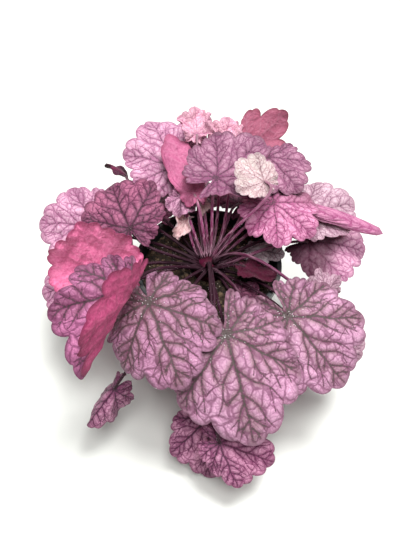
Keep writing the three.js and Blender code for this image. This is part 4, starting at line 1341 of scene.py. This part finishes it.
# hairs on the stalks, at the leaf bases and all over the small grey leaf; foot places the three
# corners of a hair's foot, in radians
hairs = {
    "leastSides": (0.045, 0.045, 0.6), "mostSides": (0.063, 0.063, 1.5), "lean": 1.5, "tumble": 0.45,
    "density": 150000, "seed": 21, "hub": 0.16, "onHub": 0.35, "onStalk": (0.05, 3, -0.45),
    "clouds": (40, 1), "tint": (0.4, 0.6), "tones": ("e9dde2", "cfb0be"), "roughness": 0.3,
    "specular": 0.5, "foot": (0.0, 2.0944, 4.1888),
}
# small glossy white beads around the hubs of the front leaves, and a few further out
beads = {
    "leastSides": (0.22, 0.22, 0.22), "mostSides": (0.55, 0.55, 0.55), "tumble": 0.2,
    "density": 110000, "seed": 12, "reach": 0.34, "stray": 0.004, "lump": 2,
    "on": ("leaf_front_middle", "leaf_front_left", "leaf_front_right"),
    "clouds": (300, 1), "tint": (0.4, 0.6), "tones": ("ffffff", "d9d0d4"), "roughness": 0.08,
    "specular": 0.8,
}


def bedOf(name, mark, nodes, amountsOn):
    # a loose copy of the faces that carry something, and how much of it at each corner
    corners, faces, amounts = [], [], []
    for node in nodes:
        leaf, mesh = leaves[node], leafMeshes[node]
        spots = readValues(mesh.vertices, "co", 3)
        hub = np.linalg.norm(spots - np.array(leaf["at"]) * mm, axis=1) / (leaf["size"] * mm)
        along = readValues(mesh.attributes["along"].data, "value")
        for face in mesh.polygons:
            amount = amountsOn(leaf, face, hub, along)
            if amount is None:
                continue
            start = len(corners)
            corners.extend(spots[list(face.vertices)])
            amounts.extend(amount)
            faces.append(tuple(range(start, len(corners))))
    mesh = meshFrom(name, corners, faces)
    addPointValues(mesh, {mark: amounts})
    return mesh


def furOn(leaf, face, hub, along):
    first, count = face.vertices[0], len(face.vertices)
    if face.material_index == stalkSide:
        least, rise, start = hairs["onStalk"]
        return [min(1.0, max(least, rise * along[first] + start))] * count
    if face.material_index == topSide and (hub[first] < hairs["hub"] or leaf["hairy"]):
        return [max(leaf["hairy"], hairs["onHub"])] * count
    return None


def beadAmountOn(leaf, face, hub, along):
    if face.material_index != topSide:
        return None
    return [max(0.0, 1 - hub[i] / beads["reach"]) ** 2 + beads["stray"] for i in face.vertices]


def makeHairs():
    tip = bmesh.new()
    foot = [tip.verts.new(aroundAxis(1, turn, 0)) for turn in hairs["foot"]]
    top = tip.verts.new((hairs["lean"], 0, 1))
    for a, b in ((0, 1), (1, 2), (2, 0)):
        tip.faces.new((foot[a], foot[b], top))
    tip.faces.new((foot[2], foot[1], foot[0]))
    bed = bedOf("hairBed", "furry", leaves, furOn)
    strewOver("fineHairs", bed, meshOf("hair", tip), "furry", hairs, makeTintedMaterial("hairWhite", hairs))


def makeBeads():
    bed = bedOf("beadBed", "wet", beads["on"], beadAmountOn)
    skin = makeTintedMaterial("whiteBeadSkin", beads)
    strewOver("waterBeads", bed, lumpMesh("bead", beads["lump"]), "wet", beads, skin, True)


makeHairs()
makeBeads()


# world lights the scene, and shown is how bright the camera sees it behind the floor
stageLook = {"floor": "d3d5d0", "roughness": 0.35, "reach": 60, "world": 0.25, "shown": 1.0}
# where each light comes from, its strength, and the angle it spreads over in degrees
lights = {
    "keyLight": {"from": (0.3, 0.3, 1.5), "strength": 3.95, "spread": 26},
    "fillLight": {"from": (0.08, -0.5, 1.45), "strength": 2.35, "spread": 30},
    "backLight": {"from": (-0.2, 1.2, 0.9), "strength": 0.3, "spread": 60},
}
camera = {
    "place": (-0.00712, -0.38533, 0.56491), "aim": (0.0, 0.6428, -0.7660), "lens": 45.53, "sensor": 36,
    "near": 0.01,
}


def aimed(name, data, place, aim):
    holder = bpy.data.objects.new(name, data)
    holder.location = place
    holder.rotation_euler = Vector(aim).to_track_quat("-Z", "Y").to_euler()
    bpy.context.scene.collection.objects.link(holder)
    return holder


def makeStage():
    far = stageLook["reach"]
    corners = [(-far, -far, 0), (far, -far, 0), (far, far, 0), (-far, far, 0)]
    floorMesh = meshFrom("floor", corners, [(0, 1, 2, 3)])
    material, tree, _ = startMaterial("studioFloor")
    setSkin(tree, colour(stageLook["floor"]), stageLook["roughness"])
    floorMesh.materials.append(material)
    showPiece("floor", floorMesh)
    world = bpy.data.worlds.new("studio")
    world.use_nodes = True
    air = world.node_tree
    seen = outputOf(air, "ShaderNodeLightPath", output="Is Camera Ray")
    strength = ramped(air, seen, 0.0, 1.0, stageLook["world"], stageLook["shown"])
    feed(air, air.nodes["Background"], {0: (1, 1, 1, 1), 1: strength})
    bpy.context.scene.world = world
    for name, look in lights.items():
        light = bpy.data.lights.new(name, "SUN")
        light.energy = look["strength"]
        light.angle = math.radians(look["spread"])
        aimed(name, light, look["from"], -Vector(look["from"]))
    bpy.context.scene.view_settings.view_transform = "Standard"


def makeCamera():
    data = bpy.data.cameras.new("studioCamera")
    data.lens = camera["lens"]
    data.sensor_width = camera["sensor"]
    data.clip_start = camera["near"]
    bpy.context.scene.camera = aimed("studioCamera", data, camera["place"], camera["aim"])


makeStage()
makeCamera()
print("stage ready")
